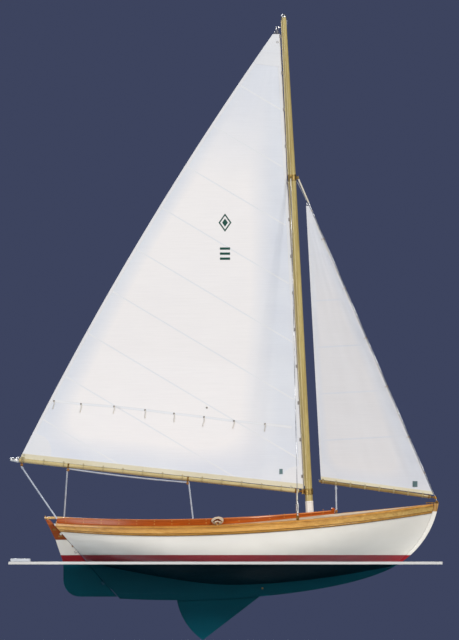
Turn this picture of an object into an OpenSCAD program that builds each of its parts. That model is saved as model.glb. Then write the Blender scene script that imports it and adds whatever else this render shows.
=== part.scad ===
// Display model of a small keel and centreboard daysailer, sloop rigged, on a clear waterline plate.
// Millimetres. X points forward, Y to port, Z up; the origin is the middle of the plate, at the waterline.

/* [Display plate] */
// Length of the clear plate
plate_len = 444; // [430:1:470]
// Width of the clear plate
plate_w = 204; // [190:1:230]
// Thickness of the clear plate
plate_t = 3; // [2:0.5:4]
// Depth of the groove round the hull that holds the plate
groove_depth = 1.2; // [0.8:0.1:1.6]
// Length of the blank tag that lies on the plate's after end
tag_len = 20; // [14:1:26]
// Width of the tag
tag_w = 46; // [30:1:60]
// Thickness of the tag
tag_t = 3; // [2:0.5:4]

/* [Hull] */
// Greatest beam over the planking
beam = 148; // [138:1:158]
// Depth of the hull's rabbet below the waterline
body_depth = 22; // [20:0.5:24]
// Transom face on the centreline, at the waterline
transom_foot_x = -141.2; // [-146:0.1:-138]
// Rake of the transom, sternpost and rudder from the vertical
transom_rake = 41.4; // [39:0.2:43]
// Stem head, ahead of the origin
stem_head_x = 219.4; // [212:0.2:224]
// Top of the stem head
stem_head_z = 61.3; // [60:0.1:64]
// Forefoot, where the stem is scarfed to the keel
forefoot_x = 171.5; // [166:0.5:175]
// Height of the forefoot
forefoot_z = -5; // [-6:0.2:-4]
// Bulge of the stem's arc beyond its chord
stem_bulge = 9.8; // [8:0.1:12]
// Depth of the stem, fore and aft
stem_depth = 5; // [4:0.5:7]
// Sheer height at the transom
sheer_stern = 38.2; // [36:0.2:40]
// Height of the point that pulls the sheer down in its after half
sheer_pull_aft = 31.2; // [29:0.2:33]
// Height of the point that pulls the sheer down in its fore half
sheer_pull_fore = 38; // [36:0.2:40]
// Sheer height at the stem
sheer_bow = 59.2; // [57:0.2:60]
// Thickness of the hull's wall
wall = 3; // [2.4:0.1:3.4]
// Height of the boot top's upper edge
boot_z = 8.2; // [6:0.2:10]
// Depth of the varnished sheer strake amidships
strake_h = 8; // [7:0.2:9]
// Depth of the sheer strake at the transom
strake_aft_h = 6.2; // [5:0.2:7]
// How far the sheer strake stands proud of the planking
strake_proud = 0.8; // [0.4:0.1:1.2]
// Thickness of the transom
transom_t = 3; // [2:0.2:4]

/* [Keel] */
// Heel of the keel, where it meets the sternpost
heel_z = -36.7; // [-38:0.1:-35.5]
// Half width of the keel along the centreboard slot
keel_half = 4.2; // [3.8:0.1:5]
// Half width of the sternpost
post_half = 2.3; // [2:0.1:2.8]
// Half width of the stem
stem_half = 2; // [1.6:0.1:2.4]
// How far the keel is let into the hull
keel_bury = 3; // [2:0.5:4]
// Height of the seam between the keel and its ballast
ballast_z = -31; // [-32:0.2:-30]

/* [Deck and cockpit] */
// Thickness of the deck
deck_t = 1.4; // [1:0.1:2]
// Rise of the deck's crown for each unit of half breadth
deck_crown = 0.065; // [0.04:0.005:0.09]
// Height of the coaming above the sheer
coaming_h = 9; // [7:0.5:11]
// Thickness of the coaming boards
coaming_t = 1.8; // [1.2:0.1:2.4]
// Point of the coaming, ahead of the mast
coaming_tip_x = 110; // [104:0.5:114]
// After end of the coaming
coaming_aft_x = -173; // [-174:0.5:-166]
// Half width between the coamings at their after end
coaming_aft_half = 33; // [30:0.5:35]
// After edge of the cockpit opening
cockpit_aft_x = -166; // [-167:0.5:-162]
// Forward edge of the cockpit opening
cockpit_fore_x = 64; // [58:0.5:68]
// After end of the cockpit sole, under the front edge of the stern seat
sole_aft_x = -106; // [-110:0.5:-102]
// Top of the cockpit sole
sole_z = -3; // [-4:0.5:-1]
// Thickness of the sole's boards
sole_t = 1.6; // [1.2:0.1:2]
// Width of one sole board
sole_board_w = 7; // [5:0.5:9]
// Top of the benches
bench_z = 16; // [13:0.5:18]
// Thickness of the benches
bench_t = 2; // [1.5:0.1:2.5]
// Distance of the benches' inner edge from the centreline
bench_inner = 31; // [29:0.5:34]
// Thickness of the bulkheads
bulkhead_t = 2; // [1.5:0.1:3]

/* [Centreboard] */
// Pivot, ahead of the origin
pivot_x = 38; // [36:0.5:40]
// Height of the pivot
pivot_z = -26; // [-27:0.2:-25]
// Radius of the pivot pin
pivot_r = 1; // [0.8:0.05:1.2]
// Thickness of the board
board_t = 2.4; // [2:0.1:2.6]
// Clearance of the board on each side of its slot
slot_gap = 0.5; // [0.4:0.05:0.7]
// Angle of the board's leading edge below the horizontal
board_angle = 37.5; // [36:0.5:39]
// Length of the leading edge, from the pivot to the tip
board_len = 81; // [78:0.5:82]
// Top of the centreboard trunk
trunk_z = 26; // [25:0.5:30]
// Thickness of the trunk's cheeks
cheek_t = 2.2; // [1.6:0.1:2.6]

/* [Rudder] */
// Thickness of the rudder
rudder_t = 2.4; // [2:0.1:2.8]
// Distance of the rudder's axis behind the transom
pintle_gap = 1.7; // [1.6:0.05:2]
// Radius of the pintle rod
rod_r = 0.65; // [0.5:0.05:0.7]
// Bottom of the rudder
rudder_foot_z = -34.6; // [-36:0.2:-33]
// After edge of the rudder at and below the waterline
rudder_aft_x = -166.9; // [-170:0.2:-163]
// Height of the tiller over the transom
tiller_z = 46; // [45.8:0.2:48]
// Length of the tiller
tiller_len = 76; // [66:1:84]

/* [Mast and boom] */
// Mast axis at the waterline
mast_x = 89.5; // [88:0.2:91]
// Rake of the mast
mast_rake = 3; // [2.6:0.1:3.4]
// Top of the mast
mast_top_z = 562; // [540:1:580]
// Height of the hounds, where the stays meet the mast
hounds_z = 397; // [385:1:405]
// Radius of the mast below the hounds
mast_r = 3.8; // [3.5:0.1:4.2]
// Radius of the mast at its top
mast_top_r = 2.4; // [2.1:0.1:2.7]
// Height of the gooseneck
gooseneck_z = 73.6; // [72:0.2:80]
// Length of the boom
boom_len = 299; // [285:1:305]
// Upward slope of the boom, going aft
boom_slope = 6.3; // [5.5:0.1:7]
// Radius of the boom
boom_r = 2.2; // [1.8:0.1:2.5]
// Distance of the sail's hinge line behind the mast
luff_gap = 2.2; // [2:0.1:2.8]

/* [Sails] */
// Thickness of the sailcloth solids
cloth_t = 0.6; // [0.5:0.05:0.8]
// Height of the mainsail's head
main_head_z = 545; // [525:1:550]
// Width of the mainsail's head
main_head_w = 6.5; // [5:0.5:8]
// Distance of the mainsail's clew from the boom's end
main_clew_back = 10; // [8:0.5:14]
// Roach of the mainsail's leech
main_roach = 9.5; // [5:0.5:12]
// Depth of the sails' camber for each unit of chord
camber = 0.028; // [0.01:0.002:0.035]
// Height of the jib's head
jib_head_z = 368; // [350:1:372]
// Clew of the jib, ahead of the origin
jib_clew_x = 98; // [96.5:0.5:104]
// Radius of the jib's boom
jib_boom_r = 1.7; // [1.4:0.1:2]
// Upward slope of the jib's boom, going aft
jib_boom_slope = 8; // [7.5:0.1:9]

/* [Rigging] */
// Radius of the stays
stay_r = 0.35; // [0.3:0.05:0.5]
// Chainplates, ahead of the origin
chainplate_x = 74; // [71:0.5:76]
// Radius of the turnbuckles
turnbuckle_r = 1.1; // [0.9:0.1:1.3]
// Forestay's foot, ahead of the origin
stay_foot_x = 217.5; // [215:0.5:219]
// Forestay's foot, above the waterline
stay_foot_z = 64; // [63.6:0.2:66]

/* [Hidden] */
$fn = 48;

// Gap between pieces that are glued face to face
seam = 0.05;
// Gap between a piece and its seat
seat = 0.2;
// Running clearance of a pin in its eye
run_gap = 0.06;
// Length of a cutter that passes right through the piece it cuts
reach = 400;
// Stations along the hull and along the sails
hull_steps = 34;
sail_steps = 16;

// Colours
white_paint = [0.93, 0.92, 0.9];
boot_red = [0.55, 0.12, 0.14];
bottom_green = [0.03, 0.2, 0.22];
golden_oak = [0.78, 0.53, 0.24];
mahogany = [0.6, 0.27, 0.1];
spruce = [0.75, 0.66, 0.36];
deck_buff = [0.76, 0.66, 0.5];
bronze = [0.66, 0.52, 0.3];
steel = [0.8, 0.81, 0.83];
sailcloth = [0.95, 0.95, 0.96];
clear = [0.85, 0.9, 0.93, 0.4];

// Lines of the hull, from the transom to the stem. Columns: place along the hull, half breadth at the sheer
// as a share of half the beam, fullness of the section, hollow of the garboard, depth of the rabbet as a
// share of body_depth.
BREADTH = 1;
FULLNESS = 2;
HOLLOW = 3;
RABBET = 4;
HULL_LINES = [
    [0.00, 0.600, 2.9, 1.35, -0.02],
    [0.12, 0.800, 3.4, 1.20, 0.39],
    [0.28, 0.945, 4.0, 1.05, 0.77],
    [0.45, 1.000, 4.2, 1.00, 1.00],
    [0.62, 0.935, 3.6, 1.00, 0.98],
    [0.78, 0.710, 2.5, 1.00, 0.80],
    [0.90, 0.395, 1.8, 1.05, 0.54],
    [1.00, 0.027, 1.4, 1.10, 0.20]
];

// Slot of the centreboard in the keel, and the keel's half width seen from above. Columns of KEEL_PLAN: place
// ahead of the origin, half width.
heel_x = transom_x(heel_z);
slot_half = board_t / 2 + slot_gap;
board_nose_r = 5;
board_r = board_len + 8;
slot_fore_x = pivot_x + board_nose_r + 1.2;
slot_aft_x = pivot_x - board_r - 1.5;
KEEL_PLAN = [[heel_x, post_half], [slot_aft_x - 22, keel_half], [slot_fore_x + 26, keel_half],
    [forefoot_x - 21, stem_half]];

// Axis of the rudder at the waterline
rudder_axis_x = transom_foot_x - pintle_gap / cos(transom_rake);

// Curves

function lerp(a, b, t) = a + (b - a) * t;
function bezier(p, t) =
    pow(1 - t, 3) * p[0] + 3 * pow(1 - t, 2) * t * p[1] + 3 * (1 - t) * t * t * p[2] + pow(t, 3) * p[3];
function arc(centre, r, from, to, steps) =
    [for (i = [0:steps]) let (a = lerp(from, to, i / steps)) centre + r * [cos(a), sin(a)]];

// Smooth reading of a column of HULL_LINES at place u
LAST = len(HULL_LINES) - 1;
function span_of(u, i = 0) = i >= LAST - 1 || u < HULL_LINES[i + 1][0] ? i : span_of(u, i + 1);
function rise(c, i, j) = (HULL_LINES[j][c] - HULL_LINES[i][c]) / (HULL_LINES[j][0] - HULL_LINES[i][0]);
function tangent(c, i) = rise(c, max(i - 1, 0), min(i + 1, LAST));
function hull_line(c, u) =
    let (i = span_of(u), h = HULL_LINES[i + 1][0] - HULL_LINES[i][0], t = (u - HULL_LINES[i][0]) / h)
    (2 * pow(t, 3) - 3 * t * t + 1) * HULL_LINES[i][c] + (3 * t * t - 2 * pow(t, 3)) * HULL_LINES[i + 1][c]
    + (pow(t, 3) - 2 * t * t + t) * h * tangent(c, i) + (pow(t, 3) - t * t) * h * tangent(c, i + 1);

// Profile of the hull: raked transom, stem on an arc, sheer on a long curve
function transom_x(z) = transom_foot_x - z * tan(transom_rake);
forefoot = [forefoot_x, forefoot_z];
stem_head = [stem_head_x, stem_head_z];
stem_chord = stem_head - forefoot;
stem_r = (pow(norm(stem_chord) / 2, 2) + pow(stem_bulge, 2)) / (2 * stem_bulge);
stem_centre = (forefoot + stem_head) / 2
    + (stem_r - stem_bulge) * [-stem_chord[1], stem_chord[0]] / norm(stem_chord);
forefoot_lean = -(forefoot - stem_centre)[1] / (forefoot - stem_centre)[0];
function stem_x(z) = z < forefoot_z ? forefoot_x + (z - forefoot_z) * forefoot_lean
    : stem_centre[0] + sqrt(pow(stem_r, 2) - pow(z - stem_centre[1], 2));
function stem_rabbet_x(z) = stem_x(z) - stem_depth;
sheer_aft_x = transom_x(sheer_stern);
sheer_fore_x = stem_rabbet_x(sheer_bow);
function sheer_z(x) =
    let (t = (x - sheer_aft_x) / (sheer_fore_x - sheer_aft_x))
    bezier([sheer_stern, sheer_pull_aft, sheer_pull_fore, sheer_bow], t);

// A point of the hull's skin lies at place u from transom to stem, and at height z
function hull_x(u, z) = lerp(transom_x(z), stem_rabbet_x(z), u);
function hull_u(x, z) = (x - transom_x(z)) / (stem_rabbet_x(z) - transom_x(z));
function sheer_at(u, z = 45, n = 6) = n == 0 ? z : sheer_at(u, sheer_z(hull_x(u, z)), n - 1);
function rabbet_z(u) = -body_depth * hull_line(RABBET, u);
function half_breadth(u, z) =
    let (low = rabbet_z(u), high = sheer_at(u), k = lookup(hull_x(u, low), KEEL_PLAN),
         s = min(1, max(0, (z - low) / (high - low))))
    k + max(0, beam / 2 * hull_line(BREADTH, u) - k)
    * pow(1 - pow(1 - s, hull_line(FULLNESS, u)), hull_line(HOLLOW, u));
function half_at(x, z) = half_breadth(hull_u(x, z), z);
function inside_half(x, z) = half_at(x, z) - wall - seat;
function skin(u, z, inset) = [hull_x(u, z), max(half_breadth(u, z) - inset, seat), z];
function sheer_half(x) = half_at(x, sheer_z(x));
function deck_under_z(x, y) =
    sheer_z(x) + seam + deck_crown * sheer_half(x) * (1 - pow(y / sheer_half(x), 2));
function deck_top_z(x, y) = deck_under_z(x, y) + deck_t;

// Solids that run through rings of points; the rings turn to the left as seen from where the row ends
module loft(rings) {
    n = len(rings);
    m = len(rings[0]);
    sides = [for (i = [0:n - 2], j = [0:m - 1]) let (k = (j + 1) % m)
        each [[i * m + j, (i + 1) * m + j, (i + 1) * m + k], [i * m + j, (i + 1) * m + k, i * m + k]]];
    first = [for (j = [0:m / 2 - 2]) each [[j, j + 1, m - 2 - j], [j, m - 2 - j, m - 1 - j]]];
    last = [for (f = first) [f[2], f[1], f[0]] + (n - 1) * m * [1, 1, 1]];
    polyhedron([for (r = rings) each r], concat(sides, first, last));
}

function reversed(list) = [for (i = [len(list) - 1:-1:0]) list[i]];

module both_sides() {
    children();
    mirror([0, 1, 0]) children();
}

// A round bar between two points
module bar(a, b, r, r_end = undef) {
    d = b - a;
    translate(a) rotate([0, acos(d[2] / norm(d)), atan2(d[1], d[0])])
        cylinder(h = norm(d), r1 = r, r2 = is_undef(r_end) ? r : r_end);
}

// A spar from one point to another, with a tapered end
module spar(a, b, r, taper) {
    d = b - a;
    translate(a) rotate([0, acos(d[2] / norm(d)), atan2(d[1], d[0])]) rotate_extrude()
        polygon([[0, 0], [r, 0], [r, norm(d) - taper], [r * 0.6, norm(d)], [0, norm(d)]]);
}

// An upright slab from an outline in the XZ plane
module slab(outline, t) {
    translate([0, t / 2, 0]) rotate([90, 0, 0]) linear_extrude(t) polygon(outline);
}

// Waterline plate

plate_half = plate_t / 2;
bottom_start = 0.045;
PLUG_STATIONS = [for (i = [0:hull_steps]) lerp(bottom_start, 1, i / hull_steps)];
function hull_outline(z, inset) =
    let (port = [for (u = PLUG_STATIONS) let (p = skin(u, z, inset)) [p[0], p[1]]])
    concat(port, reversed([for (p = port) [p[0], -p[1]]]));

// Wall of the hull inside the plate
ring_t = 1.8;
// Swing of the rudder where it passes through the plate
rudder_swing = 35;
fan_gap = 2.5;
fan_tip = rudder_aft_x - 2 * fan_gap;
fan_half = (rudder_axis_x - fan_tip) * tan(rudder_swing) * cos(transom_rake) + rudder_t / 2 + fan_gap;
notch_half = post_half + fan_gap;

module waterline_plate() color(clear) difference() {
    translate([-plate_len / 2, -plate_w / 2, -plate_half]) cube([plate_len, plate_w, plate_t]);
    translate([0, 0, -plate_t]) linear_extrude(2 * plate_t) {
        polygon(hull_outline(-plate_half, groove_depth - seat));
        polygon([[transom_foot_x + 12, notch_half], [transom_foot_x - 3, notch_half], [fan_tip, fan_half],
                 [fan_tip, -fan_half], [transom_foot_x - 3, -notch_half],
                 [transom_foot_x + 12, -notch_half]]);
        translate([forefoot_x - 2, -stem_half - seat])
            square([stem_x(plate_t) - forefoot_x + 2 + 2 * seat, 2 * (stem_half + seat)]);
    }
}

module plate_tag() color(sailcloth)
    translate([-plate_len / 2 + 2, -plate_w / 2 + 4, plate_half]) cube([tag_len, tag_w, tag_t]);

// Hull

sole_bed_z = sole_z - sole_t;

module board_slot() {
    translate([slot_aft_x, -slot_half, heel_z - 10])
        cube([slot_fore_x - slot_aft_x, 2 * slot_half, sole_bed_z - heel_z + 10 + seam]);
}

// The hull's inside, between two heights
module inside(low, high, inset) {
    rows = 6;
    loft([for (i = [1:hull_steps - 1]) let (u = i / hull_steps,
        port = [for (j = [0:rows]) skin(u, lerp(low, high, j / rows), inset)])
        concat(port, reversed([for (p = port) [p[0], -p[1], p[2]]]))]);
}

module well() intersection() {
    union() {
        inside(sole_bed_z, -plate_half, wall);
        translate([0, 0, -plate_half - seam]) linear_extrude(2 * plate_t)
            polygon(hull_outline(-plate_half, groove_depth + ring_t));
    }
    translate([sole_aft_x - bulkhead_t - seat, -beam, sole_bed_z - 1])
        cube([cockpit_fore_x - sole_aft_x + bulkhead_t + seat, 2 * beam, reach]);
}

// Outline of keel, deadwood and sternpost from the side
keel_run = [[heel_x, heel_z], [0, heel_z - 6.3], forefoot - 55 * [0.89, 0.456], forefoot];
post_top_z = 2;
keel_under = [for (i = [0:24]) bezier(keel_run, i / 24)];
keel_over = [for (i = [24:-1:0]) let (u = lerp(bottom_start, 0.985, i / 24), z = rabbet_z(u))
    [hull_x(u, z), min(z + keel_bury, forefoot_z)]];
keel_outline = concat(keel_under, [[stem_rabbet_x(forefoot_z), forefoot_z]], keel_over,
    [[transom_x(forefoot_z) + 9, forefoot_z + 2], [transom_x(post_top_z) + 5, post_top_z],
     [transom_x(post_top_z), post_top_z]]);
keel_plan = concat([[-reach, post_half]], KEEL_PLAN, [[reach, stem_half]]);

module keel_body(gap = 0) intersection() {
    slab(keel_outline, 4 * keel_half);
    translate([0, 0, -reach / 2]) linear_extrude(reach)
        polygon(concat([for (p = keel_plan) [p[0], p[1] + gap]],
                       reversed([for (p = keel_plan) [p[0], -p[1] - gap]])));
}

module below_ballast_seam(z) {
    translate([-reach, -reach / 2, z - reach]) cube([2 * reach, reach, reach]);
}

module pivot_bore(r) {
    translate([pivot_x, reach / 2, pivot_z]) rotate([90, 0, 0]) cylinder(h = reach, r = r);
}

module hull_bottom() color(bottom_green) difference() {
    union() {
        loft([for (u = PLUG_STATIONS) let (low = rabbet_z(u),
            port = [for (j = [0:9]) skin(u, lerp(low, -plate_half, pow(j / 9, 1.4)), 0)])
            concat(port, reversed([for (p = port) [p[0], -p[1], p[2]]]))]);
        translate([0, 0, -plate_half - seam]) linear_extrude(plate_t)
            polygon(hull_outline(-plate_half, groove_depth));
    }
    well();
    keel_body(seam);
    board_slot();
}

module keel() color(bottom_green) difference() {
    keel_body();
    below_ballast_seam(ballast_z + seam);
    board_slot();
    pivot_bore(pivot_r);
}

module ballast_keel() color(bottom_green) difference() {
    intersection() {
        keel_body();
        below_ballast_seam(ballast_z);
    }
    board_slot();
}

module stem() color(white_paint) {
    steps = 20;
    front = [for (i = [0:steps]) let (z = lerp(forefoot_z + seam, stem_head_z, i / steps)) [stem_x(z), z]];
    back = [for (p = front) [p[0] - stem_depth + 2 * seam, p[1]]];
    slab(concat(front, reversed(back)), 2 * stem_half);
}

// A strip of the port side's planking between two heights, which may change along the hull
function strip_ring(u, low, high, rows, out, in) = concat(
    [for (j = [0:rows]) skin(u, lerp(low, high, j / rows), out)],
    [for (j = [rows:-1:0]) skin(u, lerp(low, high, j / rows), in)]);
STATIONS = [for (i = [0:hull_steps]) i / hull_steps];
function strake_foot_z(u) =
    sheer_at(u) - lerp(strake_h, strake_aft_h, pow(1 - min(1, 3 * u), 2));

module boot_top() color(boot_red) both_sides()
    loft([for (u = STATIONS) strip_ring(u, plate_half, boot_z - seam, 2, 0, wall)]);

module topsides() color(white_paint) both_sides()
    loft([for (u = STATIONS) strip_ring(u, boot_z, strake_foot_z(u) - seam, 5, 0, wall)]);

module sheer_strake() color(golden_oak) both_sides()
    loft([for (u = STATIONS) strip_ring(u, strake_foot_z(u), sheer_at(u), 2, -strake_proud, wall)]);

module transom() color(white_paint) {
    z_top = sheer_stern - seam;
    half_top = half_breadth(0, z_top) - wall - seat;
    rows = 9;
    edge = concat(
        [for (j = [0:rows]) let (z = lerp(post_top_z + 1, z_top, j / rows))
            [max(half_breadth(0, z) - wall - seat, 1), z]],
        [for (j = [1:5]) let (y = half_top * (1 - j / 5.2))
            [y, z_top + deck_crown * half_top * (1 - pow(y / half_top, 2)) - seat]]);
    loft([for (dx = [0, transom_t]) concat(
        [for (p = edge) [transom_x(p[1]) + dx, p[0], p[1]]],
        reversed([for (p = edge) [transom_x(p[1]) + dx, -p[0], p[1]]]))]);
}

// Deck

deck_aft_x = sheer_aft_x + 0.5;
deck_fore_x = sheer_fore_x - seat;
rail_r = 1.1;

// The coamings run on a curve from the stern to a point ahead of the mast
coaming_path = [[coaming_aft_x, coaming_aft_half], [coaming_aft_x + 104, beam / 2 + 6],
    [coaming_tip_x - 65, beam / 2 + 6], [coaming_tip_x, coaming_t]];
coaming_steps = 28;
function coaming_point(t) = bezier(coaming_path, t);
function coaming_normal(t) =
    let (d = coaming_point(min(t + 0.01, 1)) - coaming_point(max(t - 0.01, 0))) [-d[1], d[0]] / norm(d);
function coaming_top_z(x) = sheer_z(x) + coaming_h;
function coaming_side(offset) =
    [for (i = [0:coaming_steps]) let (t = i / coaming_steps) coaming_point(t) + offset * coaming_normal(t)];

module cockpit_opening(inset) {
    side = coaming_side(-coaming_t / 2 - inset);
    translate([0, 0, -reach / 2]) linear_extrude(reach) intersection() {
        polygon(concat(side, reversed([for (p = side) [p[0], -p[1]]])));
        translate([cockpit_aft_x + inset, -beam])
            square([cockpit_fore_x - cockpit_aft_x - 2 * inset, 2 * beam]);
    }
}

module mast_bore(r) {
    translate([mast_x, 0, 0]) rotate([0, -mast_rake, 0]) cylinder(h = reach, r = r);
}

module deck() color(deck_buff) difference() {
    loft([for (i = [0:hull_steps]) let (x = lerp(deck_aft_x, deck_fore_x, i / hull_steps),
        b = sheer_half(x) + strake_proud, ys = [for (j = [0:10]) lerp(-b, b, j / 10)])
        concat([for (y = ys) [x, y, deck_under_z(x, y)]],
               reversed([for (y = ys) [x, y, deck_top_z(x, y)]]))]);
    cockpit_opening(0);
    mast_bore(mast_r + seat);
}

// A half round rail along the foot of the sheer strake
module rub_rail() color(golden_oak) both_sides()
    loft([for (u = STATIONS) let (z = strake_foot_z(u) + rail_r)
        [for (a = [-90:36:90])
            skin(u, z + rail_r * sin(a), -strake_proud - seat / 2) + [0, rail_r * cos(a), 0]]]);

module coaming() color(mahogany) both_sides() {
    loft([for (i = [0:coaming_steps]) let (t = i / coaming_steps,
        out = coaming_point(t) + coaming_t / 2 * coaming_normal(t),
        in = coaming_point(t) - coaming_t / 2 * coaming_normal(t))
        [[out[0], out[1], deck_top_z(out[0], out[1]) + seam], [out[0], out[1], coaming_top_z(out[0])],
         [in[0], in[1], coaming_top_z(in[0])], [in[0], in[1], deck_top_z(in[0], in[1]) + seam]]]);
}

// Cockpit

trunk_half = slot_half + cheek_t;
trunk_aft_x = slot_aft_x - cheek_t;
trunk_fore_x = slot_fore_x + cheek_t;
groove_w = 0.6;

module cockpit_sole() color(golden_oak) difference() {
    loft([for (i = [0:20]) let (x = lerp(sole_aft_x, cockpit_fore_x - bulkhead_t - 2 * seat, i / 20),
        b = inside_half(x, sole_bed_z))
        [[x, -b, sole_bed_z + seam], [x, b, sole_bed_z + seam], [x, b, sole_z], [x, -b, sole_z]]]);
    translate([trunk_aft_x - seat, -trunk_half - seat, sole_bed_z - 1])
        cube([trunk_fore_x - trunk_aft_x + 2 * seat, 2 * (trunk_half + seat), sole_t + 2]);
    for (y = [trunk_half + sole_board_w:sole_board_w:beam / 2], side = [-1, 1])
        translate([-beam, side * y - groove_w / 2, sole_z - groove_w]) cube([2 * beam, groove_w, 2]);
}

bench_aft_x = sole_aft_x + bulkhead_t;
bench_fore_x = cockpit_fore_x - bulkhead_t - 16;
stern_seat_aft_x = transom_x(bench_z - bench_t) + transom_t + seat;

module benches() color(mahogany) {
    z = bench_z - bench_t;
    both_sides() loft([for (i = [0:14]) let (x = lerp(bench_aft_x, bench_fore_x, i / 14))
        [[x, inside_half(x, z), z], [x, inside_half(x, bench_z), bench_z], [x, bench_inner, bench_z],
         [x, bench_inner, z]]]);
    loft([for (i = [0:6]) let (x = lerp(stern_seat_aft_x, bench_aft_x - seat, i / 6))
        [[x, -inside_half(x, z), z], [x, inside_half(x, z), z], [x, inside_half(x, bench_z), bench_z],
         [x, -inside_half(x, bench_z), bench_z]]]);
}

// Brackets carry the benches from the planking
bracket_t = 2;
bracket_h = 9;
bracket_count = 4;
module bench_brackets() color(mahogany) both_sides() {
    for (i = [0:bracket_count - 1]) {
        x = lerp(bench_aft_x + 12, bench_fore_x - 12, i / (bracket_count - 1));
        z = bench_z - bench_t - seam;
        edge = [for (k = [0:3]) let (zk = z - bracket_h * k / 3)
            [min(inside_half(x, zk), inside_half(x + bracket_t, zk)), zk]];
        translate([x, 0, 0]) rotate([90, 0, 90]) linear_extrude(bracket_t)
            polygon(concat([[bench_inner + 3, z]], edge, [[edge[3][0] - 2, edge[3][1]]]));
    }
}

// A bulkhead steps in where the hull passes through the plate
module bulkhead(x, low, high = 1000) {
    step_z = plate_half + seat;
    rows = 7;
    function edge_half(x, z) = inside_half(x, z) - seat
        - (abs(z) > step_z ? 0 : half_at(x, z) - half_at(x, -plate_half));
    loft([for (dx = [0, bulkhead_t]) let (px = x + dx, top = min(sheer_z(px), high) - seat,
        start = max(low, step_z + seat),
        edge = concat(
            low > step_z ? [] : [for (z = [low, -step_z - seam, -step_z, step_z]) [edge_half(px, z), z]],
            [for (j = [0:rows]) let (z = lerp(start, top, j / rows)) [edge_half(px, z), z]],
            [for (k = [1:4]) let (y = edge_half(px, top) * (1 - k / 4.2))
                [y, min(deck_under_z(px, y) - seat, high)]]))
        concat([for (p = edge) [px, p[0], p[1]]], reversed([for (p = edge) [px, -p[0], p[1]]]))]);
}

module bulkheads() color(golden_oak) {
    bulkhead(sole_aft_x - bulkhead_t, sole_bed_z + seam, bench_z - bench_t - seam);
    bulkhead(cockpit_fore_x - bulkhead_t - seat, sole_bed_z + seam);
}

module centreboard_trunk() color(golden_oak) difference() {
    translate([trunk_aft_x, -trunk_half, sole_bed_z + seam])
        cube([trunk_fore_x - trunk_aft_x, 2 * trunk_half, trunk_z - sole_bed_z]);
    translate([slot_aft_x, -slot_half, sole_bed_z - 1])
        cube([slot_fore_x - slot_aft_x, 2 * slot_half, trunk_z - sole_bed_z + 10]);
}

cap_over = 2.4;
cap_t = 2.4;
module trunk_cap() color(mahogany)
    translate([trunk_aft_x - cap_over, -trunk_half - cap_over, trunk_z + 2 * seam])
        cube([trunk_fore_x - trunk_aft_x + 2 * cap_over, 2 * (trunk_half + cap_over), cap_t]);

module centreboard_pin() color(bronze)
    translate([pivot_x, keel_half - 0.4, pivot_z]) rotate([90, 0, 0])
        cylinder(h = 2 * keel_half - 0.8, r = pivot_r - run_gap / 2);

// Fittings on deck and stern

function axis_at(z) = [rudder_axis_x - z * tan(transom_rake), 0, z];
gudgeon_r = 1.5;
gudgeon_h = 2;
GUDGEON_Z = [29, 11, -21];

// Children are drawn with their own Z along the rudder's axis, at a height
module on_rudder_axis(z) translate(axis_at(z)) rotate([0, -transom_rake, 0]) children();

module gudgeons() color(bronze) for (z = GUDGEON_Z) on_rudder_axis(z) difference() {
    union() {
        cylinder(h = gudgeon_h, r = gudgeon_r);
        translate([0, -1, 0]) cube([pintle_gap - seam, 2, gudgeon_h]);
    }
    translate([0, 0, -1]) cylinder(h = gudgeon_h + 2, r = rod_r + run_gap);
}

// A small block: a strap under two round cheeks
block_r = 1.5;
block_t = 2;
// Height on which a fitting of a given half length and half width rests
function deck_seat_z(x, y, dx, dy) =
    max([for (a = [-dx, dx], b = [-dy, dy]) deck_top_z(x + a, y + b)]) + seam;
module block_at(p) translate(p) {
    translate([0, block_t / 2, block_r + 1]) rotate([90, 0, 0]) cylinder(h = block_t, r = block_r);
    translate([-0.8, -block_t / 2, 0]) cube([1.6, block_t, block_r + 1]);
}

quarter_y = coaming_aft_half - 9;
QUARTER_BLOCKS = [[coaming_aft_x + 1, -quarter_y], [coaming_aft_x + 5.5, quarter_y]];
module quarter_blocks() color(bronze) for (p = QUARTER_BLOCKS)
    block_at([p[0], p[1], deck_seat_z(p[0], p[1], 0.8, block_t / 2)]);

cleat_x = -8;
module coaming_cleats() color(bronze) both_sides() {
    y = half_at(cleat_x, sheer_z(cleat_x)) - 4;
    z = deck_seat_z(cleat_x, y, 2.5, 0.7);
    translate([cleat_x, y, z]) {
        for (dx = [-1.8, 1.8]) translate([dx, 0, 0]) cylinder(h = 2.6, r = 0.7);
        translate([-5, 0, 3]) rotate([0, 90, 0]) cylinder(h = 10, r = 0.7);
    }
}

jib_lead_x = coaming_tip_x + 4;
module jib_sheet_block() color(bronze)
    block_at([jib_lead_x, 0, deck_seat_z(jib_lead_x, 0, 0.8, block_t / 2)]);

// Mast

function mast_at(z) = [mast_x - z * tan(mast_rake), 0, z];
module on_mast(z) translate(mast_at(z)) rotate([0, -mast_rake, 0]) children();
mast_heel_z = plate_half + 0.2;
function along_mast(z) = (z - mast_heel_z) / cos(mast_rake);

module mast() color(spruce) on_mast(mast_heel_z) rotate_extrude()
    polygon([[0, 0], [mast_r, 0], [mast_r, along_mast(hounds_z)], [mast_top_r, along_mast(mast_top_z)],
             [0, along_mast(mast_top_z)]]);

mast_deck_z = deck_top_z(mast_x - 3, 0);
coat_t = 0.7;
module mast_coat() color(white_paint) difference() {
    on_mast(mast_deck_z + 0.5) cylinder(h = 13, r = mast_r + coat_t);
    on_mast(mast_heel_z) cylinder(h = reach, r = mast_r + seam);
}

module mast_cap() color(steel) on_mast(mast_top_z + seam) rotate_extrude()
    polygon([[0, 0], [mast_top_r + 0.7, 0], [mast_top_r + 0.7, 2], [mast_top_r, 2.8], [1.2, 3.6], [0, 3.6]]);

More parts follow.
